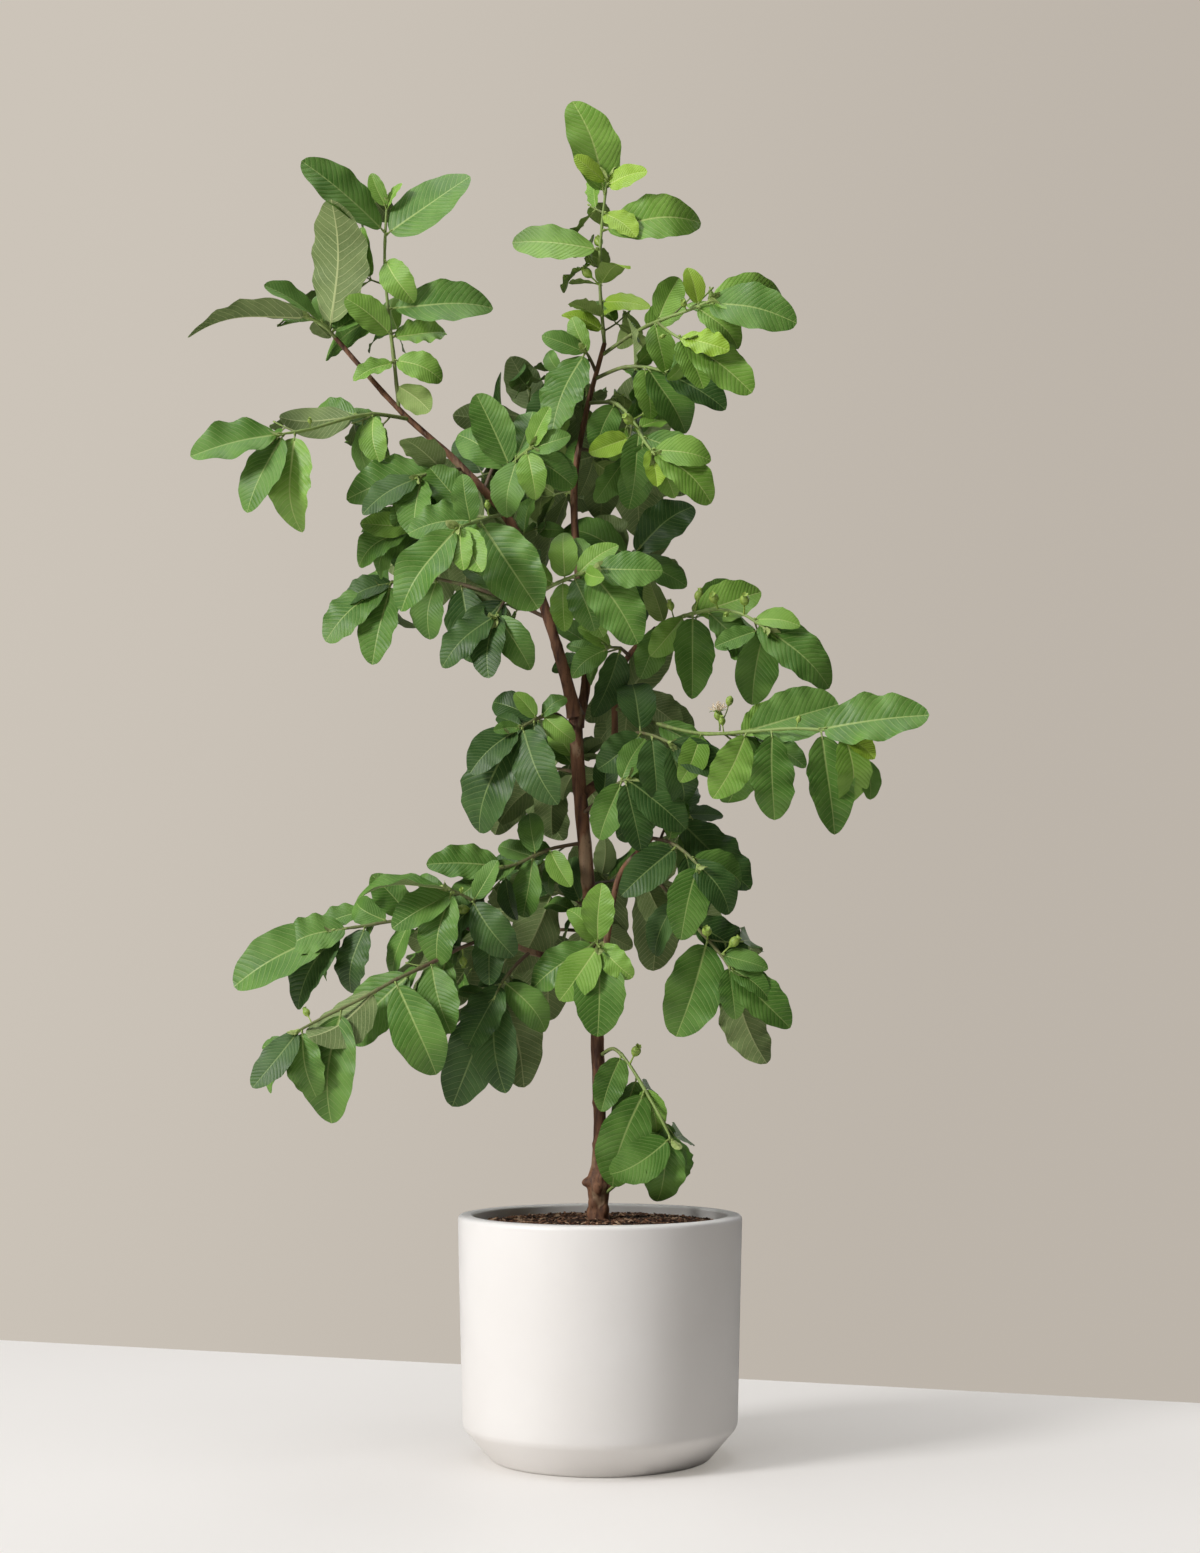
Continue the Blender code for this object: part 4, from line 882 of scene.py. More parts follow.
def bladeFaces(rows, columns):
    # faces of a closed two-sheet blade; both sheets share their margin
    upper = [[r * columns + c for c in range(columns)] for r in range(rows)]
    inner, start = columns - 2, rows * columns
    lower = []
    for r, row in enumerate(upper):
        lower.append([row[0], *range(start + r * inner, start + (r + 1) * inner), row[-1]])
    base, tip = start + rows * inner, start + rows * inner + 1
    top, under = [], []
    for c in range(columns - 1):
        for r in range(rows - 1):
            top.append((upper[r][c], upper[r][c + 1], upper[r + 1][c + 1], upper[r + 1][c]))
            under.append((lower[r][c], lower[r + 1][c], lower[r + 1][c + 1], lower[r][c + 1]))
        top.append((base, upper[0][c + 1], upper[0][c]))
        under.append((base, lower[0][c], lower[0][c + 1]))
        top.append((upper[-1][c], upper[-1][c + 1], tip))
        under.append((lower[-1][c], tip, lower[-1][c + 1]))
    return top, under


bladeSheets = {size: bladeFaces(rows, len(columns)) for size, (rows, columns) in bladeGrids.items()}


def gridOf(leaf):
    return "small" if leaf[3] < bladeForm["smallUnder"] else "large"


def bladePoints(leaf, rng):
    form = bladeForm
    base, along, face, length = (np.array(leaf[0]), np.array(leaf[1]), np.array(leaf[2]), leaf[3])
    side = np.cross(along, face)
    rows, columns = bladeGrids[gridOf(leaf)]
    columns, middle = np.array(columns), len(columns) // 2
    even = np.linspace(0, 1, rows + 2)
    t = (0.45 * even + 0.55 * (1 - np.cos(math.pi * even)) / 2)[:, None]
    s = columns[None, :]
    half = rng.uniform(*form["halfWidth"]) - form["slimmer"] * max(length - form["slimmerFrom"], 0)
    peak, blunt = rng.uniform(*form["peak"]), rng.uniform(*form["blunt"])
    width = half * np.sin(math.pi * np.clip(t, 0, 1) ** peak) ** blunt
    width[0] = width[-1] = 0
    notches = rng.uniform(*form["notches"]) * t + rng.random()
    x = s * width * (1 + form["notch"] * np.sin(math.tau * notches + 2 * np.sign(s)))
    place = form["stalk"] + (1 - form["stalk"]) * t
    arch = growth["arch"] * place * (1 - place)
    fold = rng.uniform(*form["fold"])
    wave = rng.uniform(*form["wavy" if rng.random() < form["wavyShare"] else "wave"])
    curl = rng.uniform(*form["curled" if rng.random() < form["curledShare"] else "curl"])
    phase = np.where(s < 0, rng.random(), rng.random())
    ripples = rng.uniform(*form["ripples"])
    height = fold * np.abs(x) ** 1.15 - 0.3 * fold * width
    height = height + wave * np.sin(math.tau * (ripples * t + phase)) * np.abs(s) ** 2 * np.sin(math.pi * t)
    bent = np.clip((t - form["curlFrom"]) / (1 - form["curlFrom"]), 0, 1) ** 2
    height = height - curl * bent
    place = place - 0.4 * curl * bent
    turn = math.radians(rng.uniform(-1, 1) * form["twist"]) * (t - 0.4)
    across = x * np.cos(turn) - height * np.sin(turn)
    rise = arch + x * np.sin(turn) + height * np.cos(turn)
    bow = rng.uniform(-form["bow"], form["bow"]) * np.sin(math.pi * t)
    grid = (base + along * (length * place)[..., None]
            + side * (length * (across + bow))[..., None] + face * (length * rise)[..., None])
    thick = form["thickness"] * (1 - np.abs(s) ** 6) * np.sin(math.pi * t) ** 0.3
    rib = np.clip(1 - np.abs(s) / 0.09, 0, 1) * (1 - 0.75 * t)
    top = grid + face * (thick - 0.3 * rib)[..., None]
    under = grid - face * (thick + form["midrib"] * rib * min(1, length / 80))[..., None]
    flat = np.stack([0.5 + x + 0 * t, t + 0 * s], -1)
    points = [top[1:-1].reshape(-1, 3), under[1:-1, 1:-1].reshape(-1, 3), grid[[0, -1], middle]]
    coords = [flat[1:-1].reshape(-1, 2), flat[1:-1, 1:-1].reshape(-1, 2), [(0.5, 0), (0.5, 1)]]
    return np.concatenate(points), np.concatenate(coords)


# The tones of upper sides from old to young, and lengths that decide between them
toneForm = {
    "uppers": ("leafDeep", "leafGreen", "leafFresh", "leafYoung"),
    "spread": 0.35,
    "tiny": (42, 1.4),  # shorter leaves are fresher by this
    "short": (54, 0.6),
    "notOldest": 80,  # longer leaves of a fresh mass aren't of the oldest tone
    "notYoungest": 58,  # longer leaves aren't of the youngest
    "freshUnder": 1.7,
}


def toneOf(mass, leaf, rng, young=1.0):
    form, mean = toneForm, masses[mass]["fresh"]
    fresh = mean + rng.gauss(0, form["spread"])
    fresh += young * next((more for under, more in (form["tiny"], form["short"]) if leaf[3] < under), 0)
    oldest = 1 if leaf[3] > form["notOldest"] and mean > 0.9 else 0
    youngest = 2 if leaf[3] > form["notYoungest"] else 3
    upper = form["uppers"][max(oldest, min(youngest, int(fresh + 0.35)))]
    return tones[upper], tones["underFresh" if fresh > form["freshUnder"] else "underDull"]


stalkForm = {
    "sides": 6,
    "inside": 0.03,  # how far it runs on under the blade, of the leaf's length
    "longOver": 50,
    "long": ((0, 1.15), (0.4, 0.95), (1, 0.6)),
    "short": ((0, 0.9), (1, 0.45)),
}


def addLeaf(parts, leaf, rng, upper, under):
    points, coords = bladePoints(leaf, rng)
    topFaces, underFaces = bladeSheets[gridOf(leaf)]
    parts.add(points, topFaces, coords, upper)
    parts.addFaces(underFaces, parts.count - len(points), under)
    base, along, face, length = leaf
    end = bladeForm["stalk"] + stalkForm["inside"]
    line = [base + along * length * k + face * length * growth["arch"] * k * (1 - k)
            for k in (0, end / 2, end)]
    radii = stalkForm["long" if length > stalkForm["longOver"] else "short"]
    parts.add(*roundTube(line, radii, stalkForm["sides"]), stalkGreen)


budForm = {
    "length": 4.2,
    "places": (0, 0.3, 0.65, 0.95),
    "radii": ((0, 0.8), (0.34, 1), (0.68, 0.7), (1, 0.12)),
    "radius": 1.3,
    "sides": 6,
    "tipScale": 1.5,
    "axilScale": (0.5, 0.95),
    "tipLeaves": 2,
    "tipLeafLength": (10, 17),
}
twigForm = {"sides": 8, "knot": 0.28, "knotWidth": 0.02, "narrowFrom": 0.93, "narrow": 0.35}


def addBud(parts, base, along, scale=1.0):
    line = [base + along * budForm["length"] * scale * k for k in budForm["places"]]
    radius = budForm["radius"] * scale
    table = [(place, radius * share) for place, share in budForm["radii"]]
    parts.add(*roundTube(line, table, budForm["sides"], (0.7, 1)), stalkGreen)


def addShoot(parts, plan, line, table, fresh):
    fine = smooth(line, 3 * (len(line) - 1))
    knots = sorted({round(leaf[3] if len(leaf) > 3 else 1, 2) for leaf in plan["leaves"]})

    def radius(share):
        swell = sum(math.exp(-((share - knot) / twigForm["knotWidth"]) ** 2) for knot in knots)
        end = max(share - twigForm["narrowFrom"], 0) / (1 - twigForm["narrowFrom"])
        knotted = between(table, share) * (1 + twigForm["knot"] * min(swell, 1.2))
        return knotted * (1 - twigForm["narrow"] * end)

    low = 0.3 if fresh > 1 else 0
    parts.add(*roundTube(fine, radius, twigForm["sides"], (low, 1)), shootGreen if fresh > 0.9 else twigBrown)
    tangent = (fine[-1] - fine[-2]).normalized()
    addBud(parts, fine[-1] - tangent * 0.5, tangent, budForm["tipScale"])


def tipLeaves(parts, line, rng):
    # tiny folded leaves beside the bud at the end of a shoot
    point, tangent, side, other = framesOf(line)[-1]
    turn = rng.uniform(0, math.tau)
    for half in range(budForm["tipLeaves"]):
        out = around(side, other, turn + half * math.pi)
        along = (tangent + out * rng.uniform(0.4, 0.7)).normalized()
        face = (out * -1 + tangent * 0.5)
        face = (face - along * face.dot(along)).normalized()
        leaf = (point - tangent * 0.6, along, face, rng.uniform(*budForm["tipLeafLength"]))
        addLeaf(parts, leaf, rng, grained["tipWool"], grained["tipWool"])


# Finer twigs than the solids have, on the inner side of each mass, where none of the sky is filled
sprigForm = {
    "most": 3,  # for each mass
    "tries": 60,
    "length": (20, 36),
    "rise": (-2, 6),  # of its tip
    "radii": ((0, 0.95), (1, 0.6)),
    "leaf": (30, 56),
    "inward": 0.25,  # the least share of a twig's aim that is to the crown's middle
    "behind": 4,  # how far a leaf's tip is further in than its twig's foot
    "spread": (45, 75),
    "leafSpread": (45, 70),
    "hang": 0.25,
    "face": (8, 0.35),  # chance turn of its leaves, and how much they look to the front
    # share of the twig and turn about it, for each leaf
    "leaves": ((0.5, 0), (0.5, 180), (1, 90), (1, 270)),
    "fewest": 2,
    "near": 21,  # how far a leaf's tip may lie from the middle line of another, in the front view
    "young": 0.2,
    "seed": 900,
}
spots = np.array([[(base + along * length * k)[i] for i in (0, 2)] for _, leaves, _ in plant.values()
                  for base, along, _, length in leaves for k in (0.3, 0.55, 0.8)])


def coversSky(tip):
    return np.hypot(spots[:, 0] - tip.x, spots[:, 1] - tip.z).min() > sprigForm["near"]


def sprigLeaves(rng, mass, line, inner):
    found = []
    spine = framesOf(line)
    for share, turn in sprigForm["leaves"]:
        place = spine[round(share * (len(line) - 1))]
        spread = math.radians(rng.uniform(*sprigForm["leafSpread"]))
        aim = aimOf(place, math.radians(turn), spread, sprigForm["hang"])
        base = place[0] - place[1] * (0.8 if share == 1 else 0)
        length = rng.uniform(*sprigForm["leaf"])
        leaf = tryLeaf(space, rng, mass, base, aim, length, 0, *sprigForm["face"])
        if leaf is None:
            continue
        tip = leaf[0] + leaf[1] * leaf[3]
        if coversSky(tip) or inner * (tip.y - line[0].y) < sprigForm["behind"]:
            space.taken.pop()
        else:
            found.append(leaf)
    return found


def growSprigs(mass, shoots, number):
    rng = random.Random(sprigForm["seed"] + number)
    sprigs = []
    for _ in range(sprigForm["tries"]):
        if len(sprigs) == sprigForm["most"]:
            break
        _, line, _ = rng.choice(shoots)
        place = rng.choice(framesOf(line)[1:])
        point = place[0]
        turn, spread = rng.uniform(0, math.tau), math.radians(rng.uniform(*sprigForm["spread"]))
        aim = aimOf(place, turn, spread)
        inner = 1 if point.y < growth["backFrom"] else -1
        if aim.y * inner < sprigForm["inward"]:
            continue
        reach = rng.uniform(*sprigForm["length"])
        end = point + aim * reach + up * rng.uniform(*sprigForm["rise"])
        twig = smooth([point, point + aim * reach * 0.5, end], 4)
        if space.hits(tube(twig[1:], sprigForm["radii"], 5, 0.4), skip=(mass + " shoots",)):
            continue
        before = len(space.taken)
        space.add(tube(twig, sprigForm["radii"], 5), mass + " shoots")
        leaves = sprigLeaves(rng, mass, twig, inner)
        if len(leaves) < sprigForm["fewest"]:
            del space.taken[before:]
        else:
            sprigs.append((twig, leaves))
    return sprigs


def makeMass(mass, shoots, leaves, number):
    rng = random.Random(growth["bladeSeed"] + number)
    blades, twigs = Parts(), Parts()
    for leaf in leaves:
        addLeaf(blades, leaf, rng, *toneOf(mass, leaf, rng))
    for plan, line, table in shoots:
        addShoot(twigs, plan, line, table, masses[mass]["fresh"])
        tipLeaves(blades, line, rng)
    for base, along, face, _ in leaves:
        aim = (along + face * 0.7).normalized()
        addBud(twigs, base + face * 1.4 + along * 1.5, aim, rng.uniform(*budForm["axilScale"]))
    sprigs = growSprigs(mass, shoots, number)
    for line, fineLeaves in sprigs:
        twigs.add(*roundTube(line, sprigForm["radii"], 6), shootGreen)
        tangent = (line[-1] - line[-2]).normalized()
        addBud(twigs, line[-1] - tangent * 0.4, tangent, 0.8)
        for leaf in fineLeaves:
            addLeaf(blades, leaf, rng, *toneOf(mass, leaf, rng, sprigForm["young"]))
    attach(blades.piece("leaves_" + mass), "foliage_" + mass)
    attach(twigs.piece("twigs_" + mass), "foliage_" + mass)
    return sum(len(fineLeaves) for _, fineLeaves in sprigs)


fineCount = 0
for number, (mass, (shoots, leaves, _)) in enumerate(plant.items()):
    fineCount += makeMass(mass, shoots, leaves, number)
print("foliage made, with", fineCount, "leaves on finer twigs")


# Fruitlets, and one spent flower on the right-hand branch
fruitForm = {
    "sides": 14,
    "profile": ((0, 0.95), (0.3, 0.7), (0.44, 0.75), (0.49, 1.6), (0.56, 3.1), (0.65, 4.1), (0.75, 4.3),
                (0.84, 3.6), (0.9, 2.6), (0.925, 2.1), (0.96, 2.4), (1, 2.8), (0.985, 2.3), (0.94, 1.2),
                (0.93, 0.2)),
    "lobes": 5,
    "lobed": {10: (0.16, 0), 11: (0.16, 0.02), 12: (0.16, 0.02)},  # rings of the calyx: sideways, lengthwise
    "length": 23,
    "small": (0.45, 0.85),
    "aim": (0.6, 0.2),  # of the small ones
    "seed": 40,
}


def addFruit(parts, base, along, scale=1.0):
    side, other = sidesOf(along)
    points, sides = [], fruitForm["sides"]
    for i, (place, radius) in enumerate(fruitForm["profile"]):
        wide, tall = fruitForm["lobed"].get(i, (0, 0))
        for k in range(sides):
            turn = math.tau * k / sides
            lobe = math.cos(fruitForm["lobes"] * turn)
            centre = base + along * fruitForm["length"] * scale * (place + tall * lobe)
            points.append(centre + around(side, other, turn) * radius * scale * (1 + wide * lobe))
    faces = tubeFaces(len(fruitForm["profile"]), sides)
    parts.add(points, faces, [(0.5, 0.5)] * len(points), grained["fruitletGreen"])


def moreFruits(mass, shoots, number):
    # small fruitlets and flower buds in the axils of leaves, where there is room
    rng = random.Random(fruitForm["seed"] + number)
    found, count = [], masses[mass]["more"]
    for _ in range(count * growth["tries"]):
        if len(found) == count:
            break
        _, line, _ = rng.choice(shoots)
        place = rng.choice(framesOf(line)[2:])
        fruit = tryFruit(space, mass, place, rng.uniform(0, math.tau), *fruitForm["aim"])
        if fruit:
            found.append((*fruit, rng.uniform(*fruitForm["small"])))
    return found


for number, (mass, (shoots, _, fruits)) in enumerate(plant.items()):
    parts = Parts()
    for fruit in [*fruits, *moreFruits(mass, shoots, number)]:
        addFruit(parts, *fruit)
    if parts.count:
        attach(parts.piece("fruitlets_" + mass, 60), "foliage_" + mass)
print("fruitlets made")


flowerForm = {
    "seed": 11,
    "foot": (104, -62, 643),  # on the right-hand branch
    "aim": (-0.1, -0.1, 1),
    "stalk": 9,
    "ovary": ((0, 0.7), (0.2, 2.9), (0.5, 4.1), (0.8, 3.7), (1, 2.6)),
    "ovaryLength": 8,
    "stamens": 44,
    "stamenLength": (6, 9.5),
    "sepals": 4,
    "sepalLength": 7.5,
    "branch": ((0, 0, 0), (4, -1, 5), (6.5, -1, 11), (7.5, -1, 15)),  # to the bud, from the stalk
    "bud": ((0, 0.7), (0.2, 2.6), (0.5, 3.7), (0.8, 2.8), (1, 0.5)),
    "budLength": 9,
}


def makeFlower():
    # a spent flower: green ovary on a thin stalk, a tuft of cream stamens, four sepals and a bud beside it
    form, fruitGreen, cream = flowerForm, grained["fruitletGreen"], grained["stamenCream"]
    rng = random.Random(form["seed"])
    foot, along = Vector(form["foot"]), Vector(form["aim"]).normalized()
    side, other = sidesOf(along)
    body, tuft = Parts(), Parts()
    line = [foot + along * form["stalk"] * k + side * 0.8 * math.sin(3 * k) for k in (0, 0.35, 0.7, 1)]
    body.add(*roundTube(line, ((0, 0.9), (1, 0.65)), 8), stalkGreen)
    start = line[-1] - along * 0.3
    ovary = [start + along * form["ovaryLength"] * k / 6 for k in range(7)]
    body.add(*roundTube(ovary, form["ovary"], 12), fruitGreen)
    mouth = ovary[-1]
    for k in range(form["sepals"]):
        out = around(side, other, math.tau * k / form["sepals"] + 0.4)
        root, aim = mouth + out * 1.3 - along * 0.6, (out + along * 0.25).normalized()
        addLeaf(body, (root, aim, along, form["sepalLength"]), rng, tones["leafFresh"], tones["underFresh"])
    for _ in range(form["stamens"]):
        turn, lean = rng.uniform(0, math.tau), rng.uniform(0.2, 1.9)
        out = around(side, other, turn)
        aim = (along + out * lean).normalized()
        length = rng.uniform(*form["stamenLength"])
        root = mouth + out * 1.1 - along * 0.5
        thread = [root, root + aim * length * 0.55 + along * 0.5, root + aim * length]
        tuft.add(*roundTube(thread, ((0, 0.3), (1, 0.22)), 5), cream)
        knob = [thread[-1] - aim * 0.3, thread[-1] + aim * 0.35]
        tuft.add(*roundTube(knob, ((0, 0.52), (1, 0.42)), 6), cream)
    branch = [line[2] + Vector(step) for step in form["branch"]]
    body.add(*roundTube(branch, ((0, 0.6), (1, 0.5)), 8), stalkGreen)
    bud = [branch[-1] + Vector((0.25, 0, 1)) * form["budLength"] * k / 5 for k in range(6)]
    body.add(*roundTube(bud, form["bud"], 12), fruitGreen)
    attach(body.piece("flower_body", 60), "foliage_right_arm")
    attach(tuft.piece("flower_stamens", 60), "foliage_right_arm")


makeFlower()
print("flower made")


# Trunk and boughs under bark relief
barkForm = {
    "rings": 16,  # between two points of a limb's route
    "sides": 28,
    "flute": 0.045,
    "lump": 0.06,
    "grain": 0.03,
    "joint": 0.16,  # the swelling at an old leaf joint
    "jointWidth": 2.4,
    "firstJoint": (12, 30),
    "trunkJoint": (60, 80),
    "jointSpacing": (22, 46),
    "footFlare": 0.5,
    "flareReach": 9,
    "seed": 7,
    # broken stubs of the trunk: height above its foot, bearing, reach, width
    "stubs": ((33, 200, 4.6, 4.2), (30, 330, 4.2, 4), (27, 262, 2.6, 5), (38, 285, 2.2, 3.2),
              (35, 60, 4, 4.4), (14, 225, 1.8, 4.5), (9, 310, 2.4, 5), (6, 180, 2.6, 5.5),
              (140, 250, 1.6, 3), (236, 190, 2, 3.4)),
}


def stubHeight(out, reach, radius):
    # how far the broken stubs push the bark out at one place of the trunk
    total = 0
    for height, bearing, push, width in barkForm["stubs"]:
        turn = math.remainder(math.atan2(out.y, out.x) - math.radians(bearing), math.tau)
        away = math.hypot(turn * radius, reach - height) / width
        total += push * math.exp(-away ** 4)
    return total


def relief(turn, reach, phases, joints):
    # flutes, lumps, fine grain and swollen leaf joints, as a share of the radius
    flute = math.sin(3 * turn + phases[0] + reach / 60)
    lump = barkForm["lump"] * math.sin(2 * turn + phases[1] + reach / 17) * math.sin(reach / 11 + phases[2])
    across = barkForm["grain"] * math.sin(7 * turn + phases[3] + reach / 30)
    joint = 0
    for at, bearing in joints:
        ring = math.exp(-((reach - at) / barkForm["jointWidth"]) ** 2)
        joint += barkForm["joint"] * ring * (0.55 + 0.45 * math.cos(turn - bearing))
    return barkForm["flute"] * flute + lump + across * math.sin(reach / 4.5 + 2 * turn + phases[4]) + joint


def makeLimb(name, limb, number):
    rng = random.Random(barkForm["seed"] + number)
    trunk = name == "trunk"
    line = smooth(limb["route"], barkForm["rings"] * (len(limb["route"]) - 1))
    lengths = [0]
    for a, b in zip(line, line[1:]):
        lengths.append(lengths[-1] + (b - a).length)
    joints = []
    place = rng.uniform(*barkForm["trunkJoint" if trunk else "firstJoint"])
    while place < lengths[-1]:
        joints.append((place, rng.uniform(0, math.tau)))
        place += rng.uniform(*barkForm["jointSpacing"])
    phases = [rng.uniform(0, math.tau) for _ in range(5)]
    sides = barkForm["sides"]
    points, coords = [], []
    for i, (point, _, side, other) in enumerate(framesOf(line)):
        share, reach = i / (len(line) - 1), lengths[i]
        radius = between(limb["radii"], share)
        flare = 0 if trunk else barkForm["footFlare"] * math.exp(-reach / barkForm["flareReach"])
        for k in range(sides):
            turn = math.tau * k / sides
            out = around(side, other, turn)
            push = stubHeight(out, reach, radius) if trunk else 0
            points.append(point + out * (radius * (1 + relief(turn, reach, phases, joints) + flare) + push))
            coords.append((k / sides, share))
    parts = Parts()
    parts.add(points, tubeFaces(len(line), sides), coords, barkBrown)
    attach(parts.piece("bark_" + name, 60), name)


for number, (name, limb) in enumerate(limbs.items()):
    makeLimb(name, limb, number)
print("trunk and boughs made")


# The pot, turned finely
potFinish = {"segments": 160, "rimRound": 4.5, "round": 4, "share": 0.42, "steps": 3}


def roundedProfile():
    # the solid's profile with its edges rounded by short arcs
    rim = (potForm["rim"], potForm["height"])
    corners = potProfile()
    profile = [Vector((r, z, 0)) for r, z in [*corners[:7], rim, *corners[9:]]]
    fine = [profile[0]]
    for before, corner, after in zip(profile, profile[1:], profile[2:]):
        limit = potFinish["rimRound" if (corner.x, corner.y) == rim else "round"]
        reach = min(limit, potFinish["share"] * min((corner - before).length, (after - corner).length))
        start = corner + (before - corner).normalized() * reach
        end = corner + (after - corner).normalized() * reach
        for step in range(potFinish["steps"] + 1):
            t = step / potFinish["steps"]
            fine.append(start * (1 - t) ** 2 + corner * 2 * t * (1 - t) + end * t ** 2)
    return [(point.x, point.y) for point in [*fine, profile[-1]]]


def turnedPiece(name, shape, material, sharp):
    points, faces = shape
    parts = Parts()
    parts.add(points, faces, [(0.5, 0.5)] * len(points), material)
    return parts.piece(name, sharp)


attach(turnedPiece("pot_body", turned(roundedProfile(), potFinish["segments"]), grained["potWhite"], 38),
       "pot")
print("pot made")


# Soil: a rough mound, strewn with bark chips by Geometry Nodes
soilLook = {
    "rings": 26,
    "segments": 96,
    "rough": 1.1,
    "roughFrom": 12.5,  # below the pot's rim
    "bumpScale": 0.11,
    "seed": 4,
    "chips": {"Density": 42000.0, "Smallest": 0.25, "Largest": 1.0, "Seed": 4},
    "chipRadius": 0.0024,
    "chipScale": (1.9, 0.85, 0.42),
    "chipTilt": 0.55,
    "chipsFrom": 10,  # below the pot's rim
    "toneSeed": 9,
}


def soilMound():
    rng = random.Random(soilLook["seed"])
    phases = [rng.uniform(0, math.tau) for _ in range(4)]
    rough = soilLook["rough"] / 2
    foot, floor, side, rim, *top = soilProfile()
    table = [*sorted(top, key=lambda place: place[0]), rim]
    rows = [rim[0] * (1 - k / soilLook["rings"]) for k in range(soilLook["rings"])]
    outline = [foot, floor, side, (rim[0], rim[1] - 4), *((row, between(table, row)) for row in rows)]
    points, faces = turned([*outline, (0, soilForm["top"])], soilLook["segments"])
    for point in points:
        if point.z > potForm["height"] - soilLook["roughFrom"]:
            a, b = point.x * soilLook["bumpScale"], point.y * soilLook["bumpScale"]
            bump = math.sin(a + phases[0]) * math.sin(b + phases[1])
            bump += 0.6 * math.sin(2.7 * a + 1.9 * b + phases[2])
            bump += 0.5 * math.sin(4.3 * b - 2.2 * a + phases[3])
            point.z += rough * bump
    return points, faces


def chipTree():
    tree = bpy.data.node_groups.new("strewChips", "GeometryNodeTree")
    for label, kind in (("Geometry", "Geometry"), ("Density", "Float"), ("Smallest", "Float"),
                        ("Largest", "Float"), ("Seed", "Int"), ("Finish", "Material")):
        tree.interface.new_socket(label, in_out="INPUT", socket_type="NodeSocket" + kind)
    tree.interface.new_socket("Geometry", in_out="OUTPUT", socket_type="NodeSocketGeometry")
    nodes = Nodes(tree)
    given = nodes.add("NodeGroupInput").outputs
    height = nodes.add("ShaderNodeSeparateXYZ", [nodes.out("GeometryNodeInputPosition")]).outputs[2]
    above = nodes.out("FunctionNodeCompare", (height, (potForm["height"] - soilLook["chipsFrom"]) * mm),
                      data_type="FLOAT", operation="GREATER_THAN")
    strewn = {"Mesh": given["Geometry"], "Selection": above, "Density": given["Density"],
              "Seed": given["Seed"]}
    places = nodes.out("GeometryNodeDistributePointsOnFaces", strewn, "Points", distribute_method="RANDOM")
    chip = nodes.out("GeometryNodeMeshIcoSphere", {"Radius": soilLook["chipRadius"], "Subdivisions": 1})
    flat = nodes.out("GeometryNodeTransform", {0: chip, "Scale": soilLook["chipScale"]})
    tilt = soilLook["chipTilt"]
    turn = nodes.out("FunctionNodeRandomValue", ((-tilt, -tilt, 0), (tilt, tilt, math.tau)),
                     data_type="FLOAT_VECTOR")
    size = nodes.out("FunctionNodeRandomValue", {2: given["Smallest"], 3: given["Largest"]}, 1,
                     data_type="FLOAT")
    chips = {"Points": places, "Instance": flat, "Rotation": turn, "Scale": size}
    tone = nodes.out("FunctionNodeRandomValue", {"Seed": soilLook["toneSeed"]}, 1, data_type="FLOAT")
    toned = {"Geometry": nodes.out("GeometryNodeInstanceOnPoints", chips), "Name": "chipTone", "Value": tone}
    kept = nodes.out("GeometryNodeStoreNamedAttribute", toned, data_type="FLOAT", domain="INSTANCE")
    real = nodes.out("GeometryNodeRealizeInstances", [kept])
    painted = nodes.out("GeometryNodeSetMaterial", {"Geometry": real, "Material": given["Finish"]})
    nodes.add("NodeGroupOutput", [painted])
    return tree


def grownByNodes(name, source, tree, values):
    # runs a Geometry Nodes tree on an object and gives the result as a plain mesh
    modifier = source.modifiers.new("grow", "NODES")
    modifier.node_group = tree
    for item in tree.interface.items_tree:
        if item.in_out == "INPUT" and item.name in values:
            modifier[item.identifier] = values[item.name]
    graph = bpy.context.evaluated_depsgraph_get()
    graph.update()
    mesh = bpy.data.meshes.new_from_object(source.evaluated_get(graph))
    source.modifiers.remove(modifier)
    mesh.name = name
    return mesh


mound = turnedPiece("soil_mound", soilMound(), grained["peatDark"], 80)
chips = grownByNodes("soil_chips", mound, chipTree(), {**soilLook["chips"], "Finish": chipBrown})
for piece in (mound, show("soil_chips", chips)):
    attach(piece, "soil")
print("soil made:", len(chips.polygons), "chip faces")


# Camera, floor, backdrop and light
studio = {
    "lens": 57.03,
    "sensor": 36,
    "distance": 2.2,
    "height": 0.40,
    "horizon": 1010.4,  # in pixels of the photo's height
    "photoHeight": 1553,
    # the backdrop is lighter on the left and darker on the right, as painted shade
    "backdropLeft": (0.604, 0.552, 0.485),
    "backdropRight": (0.505, 0.457, 0.4),
    "floor": (0.62, 0.61, 0.61),
    "cloud": (0.59, 0.58, 0.58),
    "glow": (0.245, 0.228, 0.203),
    "bounce": (0.8, 0.765, 0.725),
    "edge": ((-4, -5, 0), (4, -5, 0), (4, -0.907, 0), (0.612, 0.306, 0), (-0.727, 0.785, 0), (-4, 1.957, 0)),
    "ambient": 0.03,
    "ambientTint": (1, 0.96, 0.92),
    # name: place, the height on the Z axis it aims at, size, power, colour
    "lights": {
        "key": ((-3.8, -2.56, 2.75), 0.5, 1.3, 214, (1, 0.985, 0.965)),
        "top": ((-0.5, -0.3, 4.6), 0.4, 3.2, 126, (1, 1, 1)),
        "back": ((2.4, 3.2, 2.6), 0.6, 2.6, 34, (1, 0.99, 0.97)),
    },
}


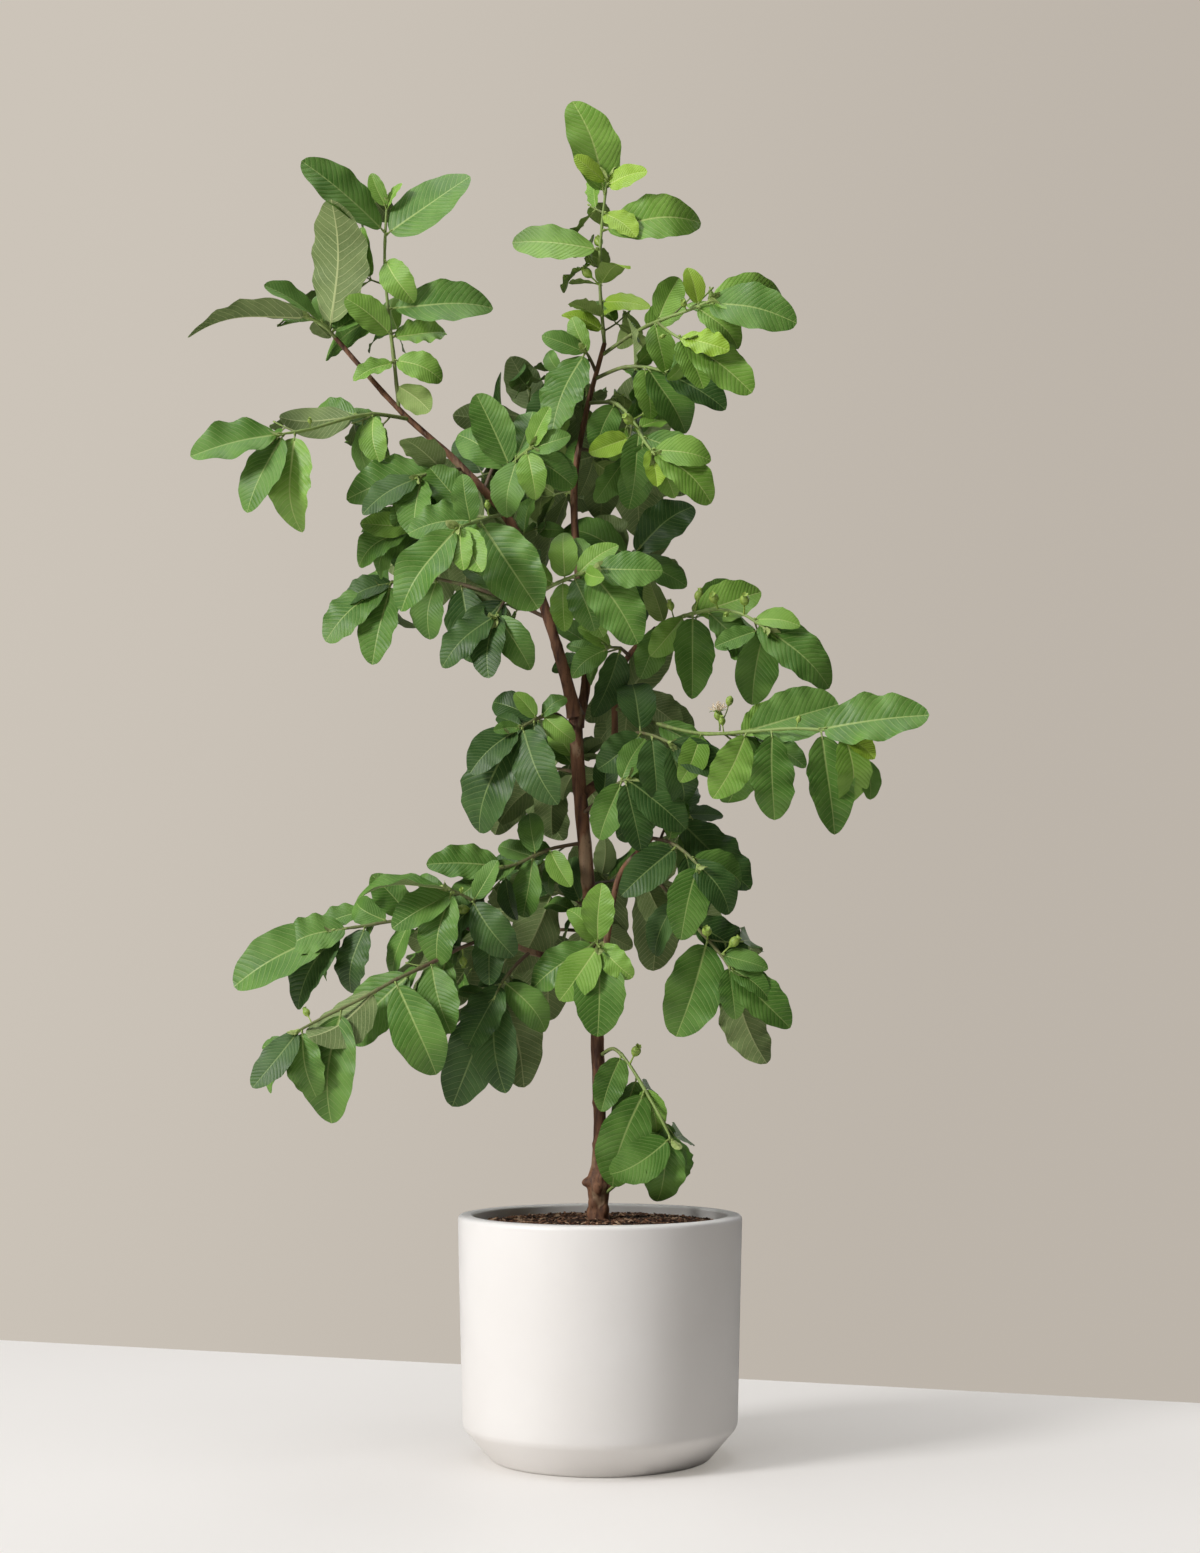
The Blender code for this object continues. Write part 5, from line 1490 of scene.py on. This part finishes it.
def makeCamera():
    camera = bpy.data.cameras.new("view")
    camera.lens = studio["lens"]
    camera.sensor_width = studio["sensor"]
    camera.shift_y = (studio["horizon"] - studio["photoHeight"] / 2) / studio["photoHeight"]
    camera.clip_end = 50
    obj = show("view", camera)
    obj.location = (0, -studio["distance"], studio["height"])
    obj.rotation_euler = (math.radians(90), 0, 0)
    bpy.context.scene.camera = obj


def makeFloor():
    # seen as bright as in the photo, and lighting the pot from below a little warmer
    floor = Finish("tableWhite", 0.6, 0.3)
    seen = floor.mix(floor.ramp(floor.noise(1.5, 2), 0.3, 0.7, 0, 0.05), studio["floor"], studio["cloud"])
    direct = floor.out("ShaderNodeLightPath", socket="Is Camera Ray")
    floor.feed(floor.shader, {"Emission Color": studio["glow"], "Emission Strength": direct})
    floor.colour(floor.mix(direct, studio["bounce"], seen))
    mesh = bpy.data.meshes.new("table")
    mesh.from_pydata(studio["edge"], [], [tuple(range(len(studio["edge"])))])
    mesh.materials.append(floor.material)
    show("table", mesh)


def areaLight(name, place, aim, size, power, colour):
    light = bpy.data.lights.new(name, "AREA")
    light.size, light.energy, light.color = size, power, colour
    obj = show(name, light)
    obj.location = place
    obj.rotation_euler = (Vector((0, 0, aim)) - Vector(place)).to_track_quat("-Z", "Y").to_euler()


def makeLight():
    world = bpy.data.worlds.new("studio")
    world.use_nodes = True
    nodes = Nodes(world.node_tree)
    nodes.tree.nodes.clear()
    view = nodes.add("ShaderNodeSeparateXYZ", [nodes.out("ShaderNodeTexCoord", socket="Generated")]).outputs
    # painted shade: the backdrop darkens to the right and lower down
    backdropShade = nodes.ramp(nodes.minus(view[0], nodes.times(view[2], 0.25)), -0.32, 0.18)
    backdrop = nodes.mix(backdropShade, studio["backdropLeft"], studio["backdropRight"])
    seen = nodes.out("ShaderNodeBackground", [backdrop])
    lit = nodes.out("ShaderNodeBackground", (studio["ambientTint"], studio["ambient"]))
    direct = nodes.out("ShaderNodeLightPath", socket="Is Camera Ray")
    nodes.add("ShaderNodeOutputWorld", [nodes.out("ShaderNodeMixShader", (direct, lit, seen))])
    bpy.context.scene.world = world
    for name, spec in studio["lights"].items():
        areaLight(name, *spec)


makeCamera()
makeFloor()
makeLight()
bpy.context.scene.view_settings.view_transform = "Standard"
print("studio made")
